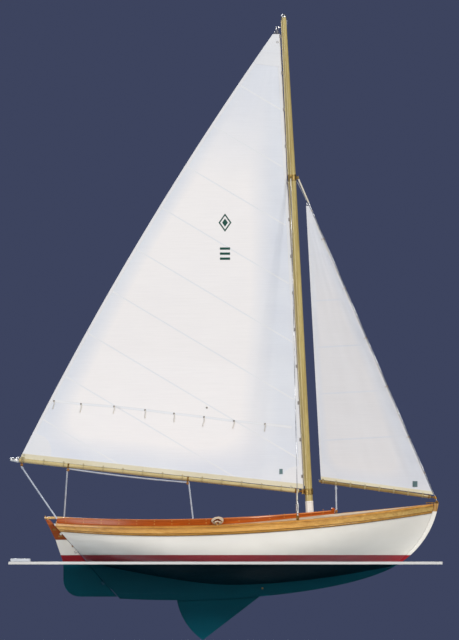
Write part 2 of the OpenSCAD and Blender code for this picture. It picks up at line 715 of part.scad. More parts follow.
// Hinge line of mainsail and boom: it runs close behind the mast's after face
function mast_radius(z) =
    z < hounds_z ? mast_r : lerp(mast_r, mast_top_r, (z - hounds_z) / (mast_top_z - hounds_z));
function hinge_at(z) =
    let (low = mast_at(gooseneck_z)[0] - mast_r - luff_gap,
         high = mast_at(main_head_z)[0] - mast_radius(main_head_z) - luff_gap)
    [lerp(low, high, (z - gooseneck_z) / (main_head_z - gooseneck_z)), 0, z];
hinge_rake = atan2(hinge_at(0)[0] - hinge_at(100)[0], 100);
module on_hinge(z) translate(hinge_at(z)) rotate([0, -hinge_rake, 0]) children();

eye_r = 1.5;
eye_h = 3;
pin_r = 0.7;
lug_t = 0.9;
band_t = 0.8;
module gooseneck_band() color(bronze) {
    difference() {
        on_mast(gooseneck_z - eye_h) cylinder(h = 2 * eye_h, r = mast_r + band_t);
        on_mast(mast_heel_z) cylinder(h = reach, r = mast_r + seam);
        on_hinge(gooseneck_z - eye_h / 2 - seat) cylinder(h = eye_h + 2 * seat, r = eye_r + seat);
    }
    for (dz = [-eye_h / 2 - seat - lug_t, eye_h / 2 + seat]) difference() {
        on_hinge(gooseneck_z + dz) {
            cylinder(h = lug_t, r = eye_r);
            translate([0, -eye_r, 0]) cube([luff_gap, 2 * eye_r, lug_t]);
        }
        on_mast(mast_heel_z) cylinder(h = reach, r = mast_r + seam);
    }
    on_hinge(gooseneck_z - eye_h / 2 - seat - lug_t) cylinder(h = eye_h + 2 * seat + 2 * lug_t, r = pin_r);
}

// Stays

stay_foot = [stay_foot_x, 0, stay_foot_z];
stay_head = mast_at(hounds_z) + [mast_r + 2, 0, 0];
plate_strap_w = 3;
plate_strap_t = 0.8;
chainplate_y = sheer_half(chainplate_x) - 2;
chainplate_foot_z = deck_seat_z(chainplate_x, chainplate_y, plate_strap_w / 2, plate_strap_t / 2);
chainplate_z = chainplate_foot_z + 5;
shroud_foot = [chainplate_x, chainplate_y, chainplate_z];
shroud_head = mast_at(hounds_z) + [-1.6, mast_r + 1.2, 0];
shroud_dir = (shroud_head - shroud_foot) / norm(shroud_head - shroud_foot);
stay_dir = (stay_head - stay_foot) / norm(stay_head - stay_foot);
turnbuckle_len = 16;

module hounds_band() color(bronze) {
    difference() {
        on_mast(hounds_z - 3) cylinder(h = 6, r = mast_r + band_t);
        on_mast(hounds_z - reach / 2) cylinder(h = reach, r = mast_r + seam);
    }
    translate(stay_head - [1.6, 0.7, 1.4]) cube([2.6, 1.4, 2.8]);
    for (side = [-1, 1])
        translate([shroud_head[0] - 1, side * (shroud_head[1] - 0.3) - 0.7, shroud_head[2] - 1.4])
            cube([2, 1.4, 2.8]);
}

module forestay() color(steel) bar(stay_foot + 0.5 * stay_dir, stay_head - 3.2 * stay_dir, stay_r);

module shrouds() color(steel) both_sides()
    bar(shroud_foot + (turnbuckle_len + seam) * shroud_dir, shroud_head - 2.4 * shroud_dir, stay_r);

module turnbuckles() color(steel) both_sides() {
    bar(shroud_foot + seam * shroud_dir, shroud_foot + 3.5 * shroud_dir, turnbuckle_r * 0.6);
    bar(shroud_foot + 3.4 * shroud_dir, shroud_foot + 12.6 * shroud_dir, turnbuckle_r);
    bar(shroud_foot + 12.5 * shroud_dir, shroud_foot + turnbuckle_len * shroud_dir, turnbuckle_r * 0.6);
}

module chainplates() color(bronze) both_sides()
    translate([chainplate_x - plate_strap_w / 2, chainplate_y - plate_strap_t / 2, chainplate_foot_z])
        cube([plate_strap_w, plate_strap_t, chainplate_z - chainplate_foot_z]);

module stemhead_fitting() color(bronze) {
    x = stem_head_x - 13;
    translate([x, -1.8, stem_head_z + seam]) cube([stem_head_x - x, 3.6, 1.2]);
    translate([stay_foot_x - 1.2, -1.2, stem_head_z + 0.5]) cube([2.4, 2.4, stay_foot_z - stem_head_z - 0.1]);
}

// Mainsail on its boom

boom_dir = [-cos(boom_slope), 0, sin(boom_slope)];
boom_up = [sin(boom_slope), 0, cos(boom_slope)];
boom_fore = hinge_at(gooseneck_z) + 4 * boom_dir;
boom_aft = boom_fore + boom_len * boom_dir;

module boom() color(spruce) spar(boom_fore, boom_aft, boom_r, 8);

module boom_jaw() color(bronze) {
    difference() {
        union() {
            on_hinge(gooseneck_z - eye_h / 2) cylinder(h = eye_h, r = eye_r);
            bar(hinge_at(gooseneck_z), boom_fore - seam * boom_dir, 1);
        }
        on_hinge(gooseneck_z - eye_h) cylinder(h = 2 * eye_h, r = pin_r + run_gap);
    }
}

// Mainsheet blocks under the boom, at distances from its fore end
BOOM_BLOCKS = [boom_len * 0.385, boom_len - 60, boom_len - 12];
module boom_blocks() color(bronze) for (d = BOOM_BLOCKS) {
    p = boom_fore + d * boom_dir - (boom_r + seam) * boom_up;
    translate([p[0], 0, p[2]]) mirror([0, 0, 1]) block_at([0, 0, 0.3]);
}

luff_lead = 0.3;
foot_gap = 0.4;
main_tack = boom_fore + 2 * boom_dir + (boom_r + foot_gap) * boom_up;
main_clew = boom_aft - main_clew_back * boom_dir + (boom_r + foot_gap) * boom_up;
main_head = hinge_at(main_head_z) + [luff_lead - 1.2, 0, 0];

// A sail between a luff and a leech; rows are curved chords, bellied to port
module sail(tack, head, clew, head_aft, roach) {
    leech = head_aft - clew;
    out = [-leech[2], 0, leech[0]] / norm(leech);
    cols = 8;
    loft([for (i = [0:sail_steps]) let (p = i / sail_steps, l = lerp(tack, head, p),
        e = lerp(clew, head_aft, p) + roach * 4 * p * (1 - p) * out, chord = norm(e - l),
        deep = camber * chord * min(1, 4 * p),
        row = [for (j = [0:cols]) let (q = j / cols)
            lerp(e, l, q) + [0, deep * 4 * q * (1 - q), 0]])
        concat([for (r = row) r - [0, cloth_t / 2, 0]], reversed([for (r = row) r + [0, cloth_t / 2, 0]]))]);
}

module mainsail() color(sailcloth)
    sail(main_tack + [hinge_at(main_tack[2])[0] + luff_lead - main_tack[0], 0, 0], main_head, main_clew,
         main_head - [main_head_w, 0, 0], main_roach);

module headboard() color(steel)
    slab([[main_head[0] - 0.8, main_head_z + seam], [main_head[0] - 0.8, main_head_z + 5],
          [main_head[0] - 2.6, main_head_z + 5], [main_head[0] - main_head_w, main_head_z + seam]], 1.2);

slide_r = 1;
slide_h = 3.4;
slide_count = 13;
module sail_slides() color(bronze)
    for (i = [0:slide_count - 1])
        on_hinge(lerp(gooseneck_z + 14, main_head_z - 4, i / (slide_count - 1))) difference() {
            cylinder(h = slide_h, r = slide_r);
            translate([-5 + luff_lead + seat, -cloth_t / 2 - seat, -1]) cube([5, cloth_t + 2 * seat, 10]);
        }

// Jib on its own boom; it turns about the forestay

function stay_at(z) = lerp(stay_foot, stay_head, (z - stay_foot_z) / (stay_head[2] - stay_foot_z));
stay_rake = acos(stay_dir[2]);
module on_stay(z) translate(stay_at(z)) rotate([0, -stay_rake, 0]) children();
jib_dir = [-cos(jib_boom_slope), 0, sin(jib_boom_slope)];
jib_up = [sin(jib_boom_slope), 0, cos(jib_boom_slope)];
ring_z = stay_foot_z + 3.5;
ring_r = 1.4;
ring_h = 3;
jib_boom_fore = stay_at(ring_z) + 4.5 * jib_dir;
jib_boom_len = (jib_boom_fore[0] - jib_clew_x + 2) / cos(jib_boom_slope);
jib_boom_aft = jib_boom_fore + jib_boom_len * jib_dir;
luff_set = 0.9;
jib_tack = jib_boom_fore + 3 * jib_dir + (jib_boom_r + foot_gap) * jib_up;
jib_clew = jib_boom_fore + (jib_boom_len - 2) * jib_dir + (jib_boom_r + foot_gap) * jib_up;

module jib_boom() color(spruce) spar(jib_boom_fore, jib_boom_aft, jib_boom_r, 5);

module jib_tack_ring() color(bronze) difference() {
    union() {
        on_stay(ring_z - ring_h / 2) cylinder(h = ring_h, r = ring_r);
        bar(stay_at(ring_z), jib_boom_fore - seam * jib_dir, 0.9);
    }
    on_stay(ring_z - ring_h) cylinder(h = 2 * ring_h, r = stay_r + 2 * run_gap);
}

module jib() color(sailcloth)
    sail(jib_tack + [stay_at(jib_tack[2])[0] - luff_set - jib_tack[0], 0, 0],
         stay_at(jib_head_z) - [luff_set, 0, 0], jib_clew, stay_at(jib_head_z) - [luff_set + 3, 0, 0], 0);

hank_r = 0.8;
hank_h = 2;
HANK_Z = [92, 129, 181, 231, 282, 333, 362];
module jib_hanks() color(bronze) for (z = HANK_Z) on_stay(z) difference() {
    cylinder(h = hank_h, r = hank_r);
    translate([0, 0, -1]) cylinder(h = hank_h + 2, r = stay_r + 2 * run_gap);
}

// Rudder

nose_r = rudder_t / 2;
bilge_r = 17;
rudder_top_z = 24;
head_w = 2.6;
head_flare = 7.8;
rudder_outline = concat(
    [[axis_at(rudder_top_z)[0], rudder_top_z], [axis_at(rudder_foot_z)[0], rudder_foot_z]],
    arc([rudder_aft_x + bilge_r, rudder_foot_z + bilge_r], bilge_r, 270, 180, 8),
    [[rudder_aft_x, 0], [axis_at(rudder_top_z)[0] - head_w - head_flare, rudder_top_z]]);

module gudgeon_notches() for (z = GUDGEON_Z)
    on_rudder_axis(z) translate([0, 0, -0.4]) {
        cylinder(h = gudgeon_h + 0.8, r = gudgeon_r + 0.5);
        translate([0, -nose_r - 1, 0]) cube([6, 2 * nose_r + 2, gudgeon_h + 0.8]);
    }

module rod_bore() {
    on_rudder_axis(2 * heel_z) cylinder(h = reach, r = rod_r + seam);
}

module rudder_blade() color(bottom_green) difference() {
    union() {
        slab(rudder_outline, rudder_t);
        intersection() {
            on_rudder_axis(2 * heel_z) cylinder(h = reach, r = nose_r);
            translate([-reach, -reach / 2, rudder_foot_z]) cube([reach, reach, rudder_top_z - rudder_foot_z]);
        }
    }
    gudgeon_notches();
    rod_bore();
}

tiller_r = 1.4;
head_top_z = tiller_z - tiller_r - seam;
module rudder_head() color(mahogany) difference() {
    union() {
        slab([axis_at(rudder_top_z + seam), axis_at(head_top_z), axis_at(head_top_z) - [head_w, 0, 0],
              axis_at(rudder_top_z + seam) - [head_w + head_flare, 0, 0]] * [[1, 0], [0, 0], [0, 1]],
             rudder_t + 1);
        intersection() {
            on_rudder_axis(0) cylinder(h = reach, r = nose_r + 0.3);
            translate([-reach, -reach / 2, rudder_top_z + seam])
                cube([reach, reach, head_top_z - rudder_top_z - seam]);
        }
    }
    gudgeon_notches();
    rod_bore();
}

rod_foot_z = GUDGEON_Z[2] - 4;
rod_top_z = tiller_z + 2.4;
module pintle_rod() color(bronze)
    on_rudder_axis(rod_foot_z) cylinder(h = (rod_top_z - rod_foot_z) / cos(transom_rake), r = rod_r);

// The tiller rests on the rudder's head, passes over the transom and droops inside the coamings
tiller_root = axis_at(tiller_z) - [2.4, 0, 0];
tiller_path = [tiller_root, tiller_root + [tiller_len * 0.3, 0, 2.6],
    tiller_root + [tiller_len * 0.7, 0, -4.6], tiller_root + [tiller_len, 0, -2.6]];
module tiller() color(golden_oak) difference() {
    loft([for (i = [0:14]) let (p = bezier(tiller_path, i / 14), r = lerp(tiller_r, 0.9, i / 14))
        [for (k = [0:9]) p + r * [0, cos(k * 36), sin(k * 36)]]]);
    rod_bore();
}

// Centreboard: a nose round the pivot, a straight leading edge, a trailing edge that sweeps to a pointed tip

lead_dir = [-cos(board_angle), -sin(board_angle)];
lead_out = [sin(board_angle), -cos(board_angle)];
pivot = [pivot_x, pivot_z];
tip = board_nose_r * lead_out + board_len * lead_dir;
tip_angle = 180 + board_angle + atan(board_nose_r / board_len);
trail_angle = 182;
function trail_point(t) =
    let (a = lerp(tip_angle, trail_angle, t), r = lerp(board_r, norm(tip), pow(1 - t, 2)))
    pivot + r * [cos(a), sin(a)];
board_outline = concat(
    arc(pivot, board_nose_r, 40, board_angle - 90, 10),
    [for (i = [0:16]) trail_point(i / 16)]);

module centreboard() color(bottom_green) difference() {
    slab(board_outline, board_t);
    pivot_bore(pivot_r + run_gap / 2);
}

waterline_plate();
plate_tag();
hull_bottom();
keel();
ballast_keel();
stem();
transom();
boot_top();
topsides();
sheer_strake();
rub_rail();
deck();
coaming();
cockpit_sole();
benches();
bench_brackets();
bulkheads();
centreboard_trunk();
trunk_cap();
centreboard_pin();
gudgeons();
quarter_blocks();
coaming_cleats();
jib_sheet_block();
mast();
mast_coat();
mast_cap();
gooseneck_band();
hounds_band();
forestay();
shrouds();
turnbuckles();
chainplates();
stemhead_fitting();
boom();
boom_jaw();
boom_blocks();
mainsail();
headboard();
sail_slides();
jib_boom();
jib();
jib_hanks();
jib_tack_ring();
rudder_blade();
rudder_head();
pintle_rod();
tiller();
centreboard();
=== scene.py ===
"""Display model of a small sloop on a clear waterline plate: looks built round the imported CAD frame."""
import bmesh
import bpy
import random
from math import asin, cos, exp, hypot, pi, radians, sin, sqrt, tan, tau
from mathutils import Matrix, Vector, noise


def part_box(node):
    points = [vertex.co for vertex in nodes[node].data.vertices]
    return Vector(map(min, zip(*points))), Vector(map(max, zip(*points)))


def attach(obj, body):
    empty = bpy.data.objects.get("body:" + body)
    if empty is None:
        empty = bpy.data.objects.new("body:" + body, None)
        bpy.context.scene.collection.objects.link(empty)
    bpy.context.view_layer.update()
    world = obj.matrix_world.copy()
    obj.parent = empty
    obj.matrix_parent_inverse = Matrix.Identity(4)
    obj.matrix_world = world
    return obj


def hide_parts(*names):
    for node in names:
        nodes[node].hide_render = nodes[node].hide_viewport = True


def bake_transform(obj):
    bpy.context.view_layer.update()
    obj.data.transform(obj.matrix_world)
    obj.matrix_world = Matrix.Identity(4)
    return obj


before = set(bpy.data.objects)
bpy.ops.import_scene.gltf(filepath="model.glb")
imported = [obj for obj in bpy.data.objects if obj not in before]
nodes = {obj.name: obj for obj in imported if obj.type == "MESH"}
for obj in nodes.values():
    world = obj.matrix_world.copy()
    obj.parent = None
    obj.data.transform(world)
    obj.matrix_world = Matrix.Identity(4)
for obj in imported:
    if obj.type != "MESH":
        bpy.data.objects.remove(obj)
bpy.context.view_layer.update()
rng = random.Random(7)

MM = 0.001
FLOOR_Z = -84
FLOOR_R = 0.75
BACKDROP = (0.0465, 0.0575, 0.1135)

# Camera: level with the waterline, far away, as in the photograph

IMAGE_H = 640
PIXEL_MM = 1.03
PIXEL = PIXEL_MM * MM
ORIGIN_PX = 225.5, 563
AIM_PX = 4, 243
LENS, SENSOR = 800, 36
scene = bpy.context.scene
scene.view_settings.view_transform = "Standard"
data = bpy.data.cameras.new("camera")
data.lens = LENS
data.sensor_width = SENSOR
data.clip_end = 60
camera = bpy.data.objects.new("camera", data)
scene.collection.objects.link(camera)
scene.camera = camera
far = IMAGE_H * PIXEL * LENS / SENSOR
aim = Vector((AIM_PX[0] * PIXEL, 0, AIM_PX[1] * PIXEL))
pitch = asin(aim.z / far)
camera.location = (aim.x, -far * cos(pitch), 0)
camera.rotation_euler = (pi / 2 + pitch, 0, 0)


def V(x, y, z):
    return Vector((x, y, z))


PORT, UP = V(0, 1, 0), V(0, 0, 1)


def lerp(a, b, t):
    return a + (b - a) * t


def steps(n):
    """Even steps from 0 to 1."""
    return [i / n for i in range(n + 1)]


def tand(a):
    return tan(radians(a))


def bezier(p, t):
    return (1 - t) ** 3 * p[0] + 3 * (1 - t) ** 2 * t * p[1] + 3 * (1 - t) * t * t * p[2] + t ** 3 * p[3]


def smooth(a, b, x):
    t = min(1, max(0, (x - a) / (b - a)))
    return t * t * (3 - 2 * t)


def lookup(x, table):
    if x <= table[0][0]:
        return table[0][1]
    for (a, p), (b, q) in zip(table, table[1:]):
        if x <= b:
            return lerp(p, q, (x - a) / (b - a))
    return table[-1][1]


# Sizes of the part, in millimetres, as in its source

PLATE_HALF = 1.5
GROOVE = 1.2
BEAM = 148
BODY_DEPTH = 22
TRANSOM_X = -141.2
TRANSOM_RAKE = 41.4
STEM_HEAD = (219.4, 61.3)
FOREFOOT = (171.5, -5)
STEM_BULGE = 9.8
STEM_DEPTH = 5
STEM_HALF = 2
SHEER = (38.2, 31.2, 38.0, 59.2)
WALL = 3
BOOT_Z = 8.2
STRAKE_H = 8.0
STRAKE_AFT_H = 6.2
STRAKE_PROUD = 0.8
SEAM = 0.05
DECK_T = 1.4
DECK_CROWN = 0.065
COAMING_H = 9
COAMING_T = 1.8
COAMING_TIP_X = 110
COAMING_AFT_X = -173
COAMING_AFT_HALF = 33
MAST_X = 89.5
MAST_RAKE = 3
MAST_TOP_Z = 562
HOUNDS_Z = 397
MAST_R = 3.8
MAST_TOP_R = 2.4
GOOSENECK_Z = 73.6
BOOM_LEN = 299
BOOM_SLOPE = 6.3
BOOM_R = 2.2
LUFF_GAP = 2.2
CLOTH_T = 0.6
MAIN_HEAD_Z = 545
MAIN_HEAD_W = 6.5
CLEW_BACK = 10
MAIN_ROACH = 9.5
CAMBER = 0.028
JIB_HEAD_Z = 368
JIB_CLEW_X = 98
JIB_BOOM_R = 1.7
JIB_SLOPE = 8
STAY_FOOT = V(217.5, 0, 64)
CHAINPLATE_X = 74
TILLER_Z = 46
TILLER_LEN = 76
PINTLE_GAP = 1.7
TRUNK_Z = 26
KEEL_HALF = 4.2
POST_HALF = 2.3
HULL_LINES = [
    (0.00, 0.600, 2.9, 1.35, -0.02), (0.12, 0.800, 3.4, 1.20, 0.39), (0.28, 0.945, 4.0, 1.05, 0.77),
    (0.45, 1.000, 4.2, 1.00, 1.00), (0.62, 0.935, 3.6, 1.00, 0.98), (0.78, 0.710, 2.5, 1.00, 0.80),
    (0.90, 0.395, 1.8, 1.05, 0.54), (1.00, 0.027, 1.4, 1.10, 0.20)]
HEEL_X = TRANSOM_X + 36.7 * tand(TRANSOM_RAKE)
KEEL_PLAN = [(HEEL_X, POST_HALF), (-74.5, KEEL_HALF), (70.2, KEEL_HALF), (150.5, STEM_HALF)]


def hull_line(c, u):
    rows = HULL_LINES
    last = len(rows) - 1
    i = 0
    while i < last - 1 and u >= rows[i + 1][0]:
        i += 1

    def slope(k):
        a, b = max(k - 1, 0), min(k + 1, last)
        return (rows[b][c] - rows[a][c]) / (rows[b][0] - rows[a][0])
    h = rows[i + 1][0] - rows[i][0]
    t = (u - rows[i][0]) / h
    return ((2 * t ** 3 - 3 * t * t + 1) * rows[i][c] + (3 * t * t - 2 * t ** 3) * rows[i + 1][c]
            + (t ** 3 - 2 * t * t + t) * h * slope(i) + (t ** 3 - t * t) * h * slope(i + 1))


def transom_x(z):
    return TRANSOM_X - z * tand(TRANSOM_RAKE)


_chord = (STEM_HEAD[0] - FOREFOOT[0], STEM_HEAD[1] - FOREFOOT[1])
_len = hypot(*_chord)
STEM_R = ((_len / 2) ** 2 + STEM_BULGE ** 2) / (2 * STEM_BULGE)
STEM_C = ((FOREFOOT[0] + STEM_HEAD[0]) / 2 - (STEM_R - STEM_BULGE) * _chord[1] / _len,
          (FOREFOOT[1] + STEM_HEAD[1]) / 2 + (STEM_R - STEM_BULGE) * _chord[0] / _len)
STEM_LEAN = -(FOREFOOT[1] - STEM_C[1]) / (FOREFOOT[0] - STEM_C[0])


def stem_x(z):
    if z < FOREFOOT[1]:
        return FOREFOOT[0] + (z - FOREFOOT[1]) * STEM_LEAN
    return STEM_C[0] + sqrt(STEM_R ** 2 - (z - STEM_C[1]) ** 2)


def rabbet_x(z):
    return stem_x(z) - STEM_DEPTH


SHEER_AFT_X = transom_x(SHEER[0])
SHEER_FORE_X = rabbet_x(SHEER[3])


def sheer_z(x):
    return bezier(SHEER, (x - SHEER_AFT_X) / (SHEER_FORE_X - SHEER_AFT_X))


def hull_x(u, z):
    return lerp(transom_x(z), rabbet_x(z), u)


def sheer_at(u):
    z = 45
    for _ in range(6):
        z = sheer_z(hull_x(u, z))
    return z


def rabbet_z(u):
    return -BODY_DEPTH * hull_line(4, u)


def half_breadth(u, z):
    low, high = rabbet_z(u), sheer_at(u)
    k = lookup(hull_x(u, low), KEEL_PLAN)
    s = min(1, max(0, (z - low) / (high - low)))
    return k + max(0, BEAM / 2 * hull_line(1, u) - k) * (1 - (1 - s) ** hull_line(2, u)) ** hull_line(3, u)


def half_at(x, z):
    return half_breadth((x - transom_x(z)) / (rabbet_x(z) - transom_x(z)), z)


def skin(u, z, inset):
    return V(hull_x(u, z), max(half_breadth(u, z) - inset, 0.2), z)


def sheer_half(x):
    return half_at(x, sheer_z(x))


def deck_top_z(x, y):
    half = sheer_half(x)
    return sheer_z(x) + SEAM + DECK_T + DECK_CROWN * half * (1 - (y / half) ** 2)


def deck_seat(x, y, dx, dy):
    """Height at which a foot of half sizes dx and dy clears the crowned deck."""
    return max(deck_top_z(x + a, y + b) for a in (-dx, dx) for b in (-dy, dy)) + SEAM


def strake_foot_z(u):
    return sheer_at(u) - lerp(STRAKE_H, STRAKE_AFT_H, (1 - min(1, 3 * u)) ** 2)


def mast_at(z):
    return V(MAST_X - z * tand(MAST_RAKE), 0, z)


def mast_radius(z):
    return MAST_R if z < HOUNDS_Z else lerp(MAST_R, MAST_TOP_R, (z - HOUNDS_Z) / (MAST_TOP_Z - HOUNDS_Z))


_hinge_low = mast_at(GOOSENECK_Z).x - MAST_R - LUFF_GAP
_hinge_high = mast_at(MAIN_HEAD_Z).x - mast_radius(MAIN_HEAD_Z) - LUFF_GAP


def hinge_at(z):
    return V(lerp(_hinge_low, _hinge_high, (z - GOOSENECK_Z) / (MAIN_HEAD_Z - GOOSENECK_Z)), 0, z)


STAY_HEAD = mast_at(HOUNDS_Z) + V(MAST_R + 2, 0, 0)


def stay_at(z):
    return lerp(STAY_FOOT, STAY_HEAD, (z - STAY_FOOT.z) / (STAY_HEAD.z - STAY_FOOT.z))


def axis_at(z):
    return V(TRANSOM_X - PINTLE_GAP / cos(radians(TRANSOM_RAKE)) - z * tand(TRANSOM_RAKE), 0, z)


def slope_pair(a):
    c, s = cos(radians(a)), sin(radians(a))
    return V(-c, 0, s), V(s, 0, c)


BOOM_DIR, BOOM_UP = slope_pair(BOOM_SLOPE)
BOOM_FORE = hinge_at(GOOSENECK_Z) + 4 * BOOM_DIR
BOOM_AFT = BOOM_FORE + BOOM_LEN * BOOM_DIR
BOOM_BLOCKS = BOOM_LEN * 0.385, BOOM_LEN - 60, BOOM_LEN - 12
JIB_DIR, JIB_UP = slope_pair(JIB_SLOPE)
JIB_FORE = stay_at(STAY_FOOT.z + 3.5) + 4.5 * JIB_DIR
JIB_LEN = (JIB_FORE.x - JIB_CLEW_X + 2) / cos(radians(JIB_SLOPE))


def coaming_point(t):
    path = [(COAMING_AFT_X, COAMING_AFT_HALF), (COAMING_AFT_X + 104, BEAM / 2 + 6),
            (COAMING_TIP_X - 65, BEAM / 2 + 6), (COAMING_TIP_X, COAMING_T)]
    return Vector([bezier([p[k] for p in path], t) for k in (0, 1)])


def coaming_normal(t):
    d = coaming_point(min(t + 0.01, 1)) - coaming_point(max(t - 0.01, 0))
    return Vector((-d.y, d.x)).normalized()


# Mesh building. Points are in millimetres; each face corner also keeps how far it is along and across its
# piece, which the grain of wood reads.

# Angles in degrees from which edges are sharp, and are bevelled
SHARP, HULL_SHARP, CAD_SHARP, BEVEL_FROM = 38, 40, 30, 40


def half_circle(n):
    return [pi * k / n for k in range(n + 1)]


def circle(n):
    return [tau * k / n for k in range(n)]


def axes(axis):
    """A direction and two more that are square to it."""
    d = axis.normalized()
    e = d.orthogonal().normalized()
    return d, e, d.cross(e)


def frames(path):
    """Each point of a path with two directions square to it, which don't twist."""
    normal = None
    for i, p in enumerate(path):
        d = (path[min(i + 1, len(path) - 1)] - path[max(i - 1, 0)]).normalized()
        if normal is None:
            normal = d.orthogonal().normalized()
        normal = (normal - d * normal.dot(d)).normalized()
        yield p, normal, d.cross(normal)


def as_list(mats):
    return mats if isinstance(mats, (list, tuple)) else [mats]


def rebuild(me, change):
    """Runs one change on a mesh's faces and edges."""
    work = bmesh.new()
    work.from_mesh(me)
    change(work)
    work.to_mesh(me)
    work.free()


class Shape:
    def __init__(self):
        self.v, self.f, self.m, self.g = [], [], [], []

    def face(self, idx, mat=0, grain=None):
        self.f.append(idx)
        self.m.append(mat)
        self.g.append(grain or [(0, 0)] * len(idx))

    def grid(self, rows, mat=0, closed=False, flip=False):
        base = len(self.v)
        n = len(rows[0])
        for r in rows:
            self.v.extend(r)
        along = 0
        for i in range(len(rows) - 1):
            step = (rows[i + 1][n // 2] - rows[i][n // 2]).length
            across = 0
            for j in range(n if closed else n - 1):
                k = (j + 1) % n
                w = (rows[i][k] - rows[i][j]).length
                idx = [base + i * n + j, base + (i + 1) * n + j, base + (i + 1) * n + k, base + i * n + k]
                gr = [(along, across), (along + step, across),
                      (along + step, across + w), (along, across + w)]
                if flip:
                    idx, gr = idx[::-1], gr[::-1]
                self.face(idx, mat(j) if callable(mat) else mat, gr)
                across += w
            along += step
        return base

    def loft(self, rings, mat=0, flip=False):
        n = len(rings[0])
        base = self.grid(rings, mat, True, flip)
        first = list(range(base, base + n))
        last = list(range(base + (len(rings) - 1) * n, base + len(rings) * n))
        cap = 0 if callable(mat) else mat
        self.face(last[::-1] if flip else last, cap)
        self.face(first if flip else first[::-1], cap)

    def tube(self, path, r, sides=10, mat=0):
        rings = []
        for i, (p, normal, side) in enumerate(frames(path)):
            rr = r(i / (len(path) - 1)) if callable(r) else r
            rings.append([p + rr * (cos(a) * normal + sin(a) * side) for a in circle(sides)])
        self.loft(rings, mat, flip=True)

    def lathe(self, base, axis, profile, sides=28, mat=0):
        d, e, g = axes(axis)
        rings = [[base + h * d + max(r, 0.002) * (cos(a) * e + sin(a) * g) for a in circle(sides)]
                 for r, h in profile]
        self.loft(rings, mat, flip=True)

    def ring(self, centre, axis, r, thick, mat=0, sides=20, facets=8):
        d, e, g = axes(axis)
        rows = []
        for i in range(sides + 1):
            a = tau * i / sides
            out = cos(a) * e + sin(a) * g
            rows.append([centre + r * out + thick * (cos(b) * out + sin(b) * d)
                         for b in circle(facets)])
        self.grid(rows, mat, True)

    def box(self, a, b):
        """A block between two opposite corners."""
        (x0, x1), (y0, y1), heights = (sorted(pair) for pair in zip(a, b))
        self.loft([[V(x0, y0, z), V(x1, y0, z), V(x1, y1, z), V(x0, y1, z)] for z in heights])

    def both(self):
        """Adds the mirror image to port or starboard."""
        n = len(self.v)
        self.v += [V(p.x, -p.y, p.z) for p in self.v]
        for f, m, g in list(zip(self.f, self.m, self.g)):
            self.face([n + i for i in f][::-1], m, g[::-1])

    def piece(self, name, body, slot, mats, replaces=(), sharp=SHARP, bevel=0, ride=True):
        me = bpy.data.meshes.new(name)
        me.from_pydata([p * MM for p in self.v], [], self.f)
        for m in as_list(mats):
            me.materials.append(m)
        me.polygons.foreach_set("material_index", self.m)
        layer = me.attributes.new("grain", "FLOAT_VECTOR", "CORNER")
        flat = []
        for g in self.g:
            for a, b in g:
                flat += [a * MM, b * MM, 0]
        layer.data.foreach_set("vector", flat)
        rebuild(me, lambda work: bmesh.ops.recalc_face_normals(work, faces=work.faces))
        ob = bpy.data.objects.new(name, me)
        scene.collection.objects.link(ob)
        finish_mesh(ob, sharp, bevel)
        settle(ob, body, slot, replaces, ride)
        return ob


def finish_mesh(ob, sharp, bevel):
    me = ob.data
    me.polygons.foreach_set("use_smooth", [True] * len(me.polygons))
    me.update()
    me.validate()
    if sharp:
        me.set_sharp_from_angle(angle=radians(sharp))
    if bevel:
        mod = ob.modifiers.new("edges", "BEVEL")
        mod.width = bevel * MM
        mod.segments = 2
        mod.limit_method = "ANGLE"
        mod.angle_limit = radians(BEVEL_FROM)
        mod.harden_normals = True


def settle(ob, body, slot, replaces=(), ride=True):
    if ride:
        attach(ob, body)
    if replaces:
        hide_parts(*replaces)


WELD = 0.01 * MM
FLAT_DEG = 0.4


def from_node(node, name, body, slot, mats, bevel, choose=None):
    """A welded copy of a CAD node's mesh with softened edges and its own finish."""
    me = nodes[node].data.copy()
    me.name = name
    ob = bpy.data.objects.new(name, me)
    scene.collection.objects.link(ob)
    weld = ob.modifiers.new("weld", "WELD")
    weld.merge_threshold = WELD
    dg = bpy.context.evaluated_depsgraph_get()
    ob.data = bpy.data.meshes.new_from_object(ob.evaluated_get(dg))
    ob.modifiers.clear()
    rebuild(ob.data, lambda work: bmesh.ops.dissolve_limit(
        work, angle_limit=radians(FLAT_DEG), verts=work.verts, edges=work.edges))
    if "custom_normal" in ob.data.attributes:
        ob.data.attributes.remove(ob.data.attributes["custom_normal"])
    ob.data.materials.clear()
    for m in as_list(mats):
        ob.data.materials.append(m)
    for p in ob.data.polygons:
        p.material_index = choose(p) if choose else 0
    finish_mesh(ob, CAD_SHARP, bevel)
    settle(ob, body, slot, (node,))


# Materials

def rgb(*levels):
    """A linear colour from screen levels of 0 to 255."""
    return tuple(c / 255 / 12.92 if c <= 10 else ((c / 255 + 0.055) / 1.055) ** 2.4 for c in levels) + (1,)


def shade(c):
    """What a colour socket takes. A number is a grey, three are screen levels, the rest stays as it is."""
    if isinstance(c, (int, float)):
        return c, c, c, 1
    return rgb(*c) if isinstance(c, tuple) and len(c) == 3 else c


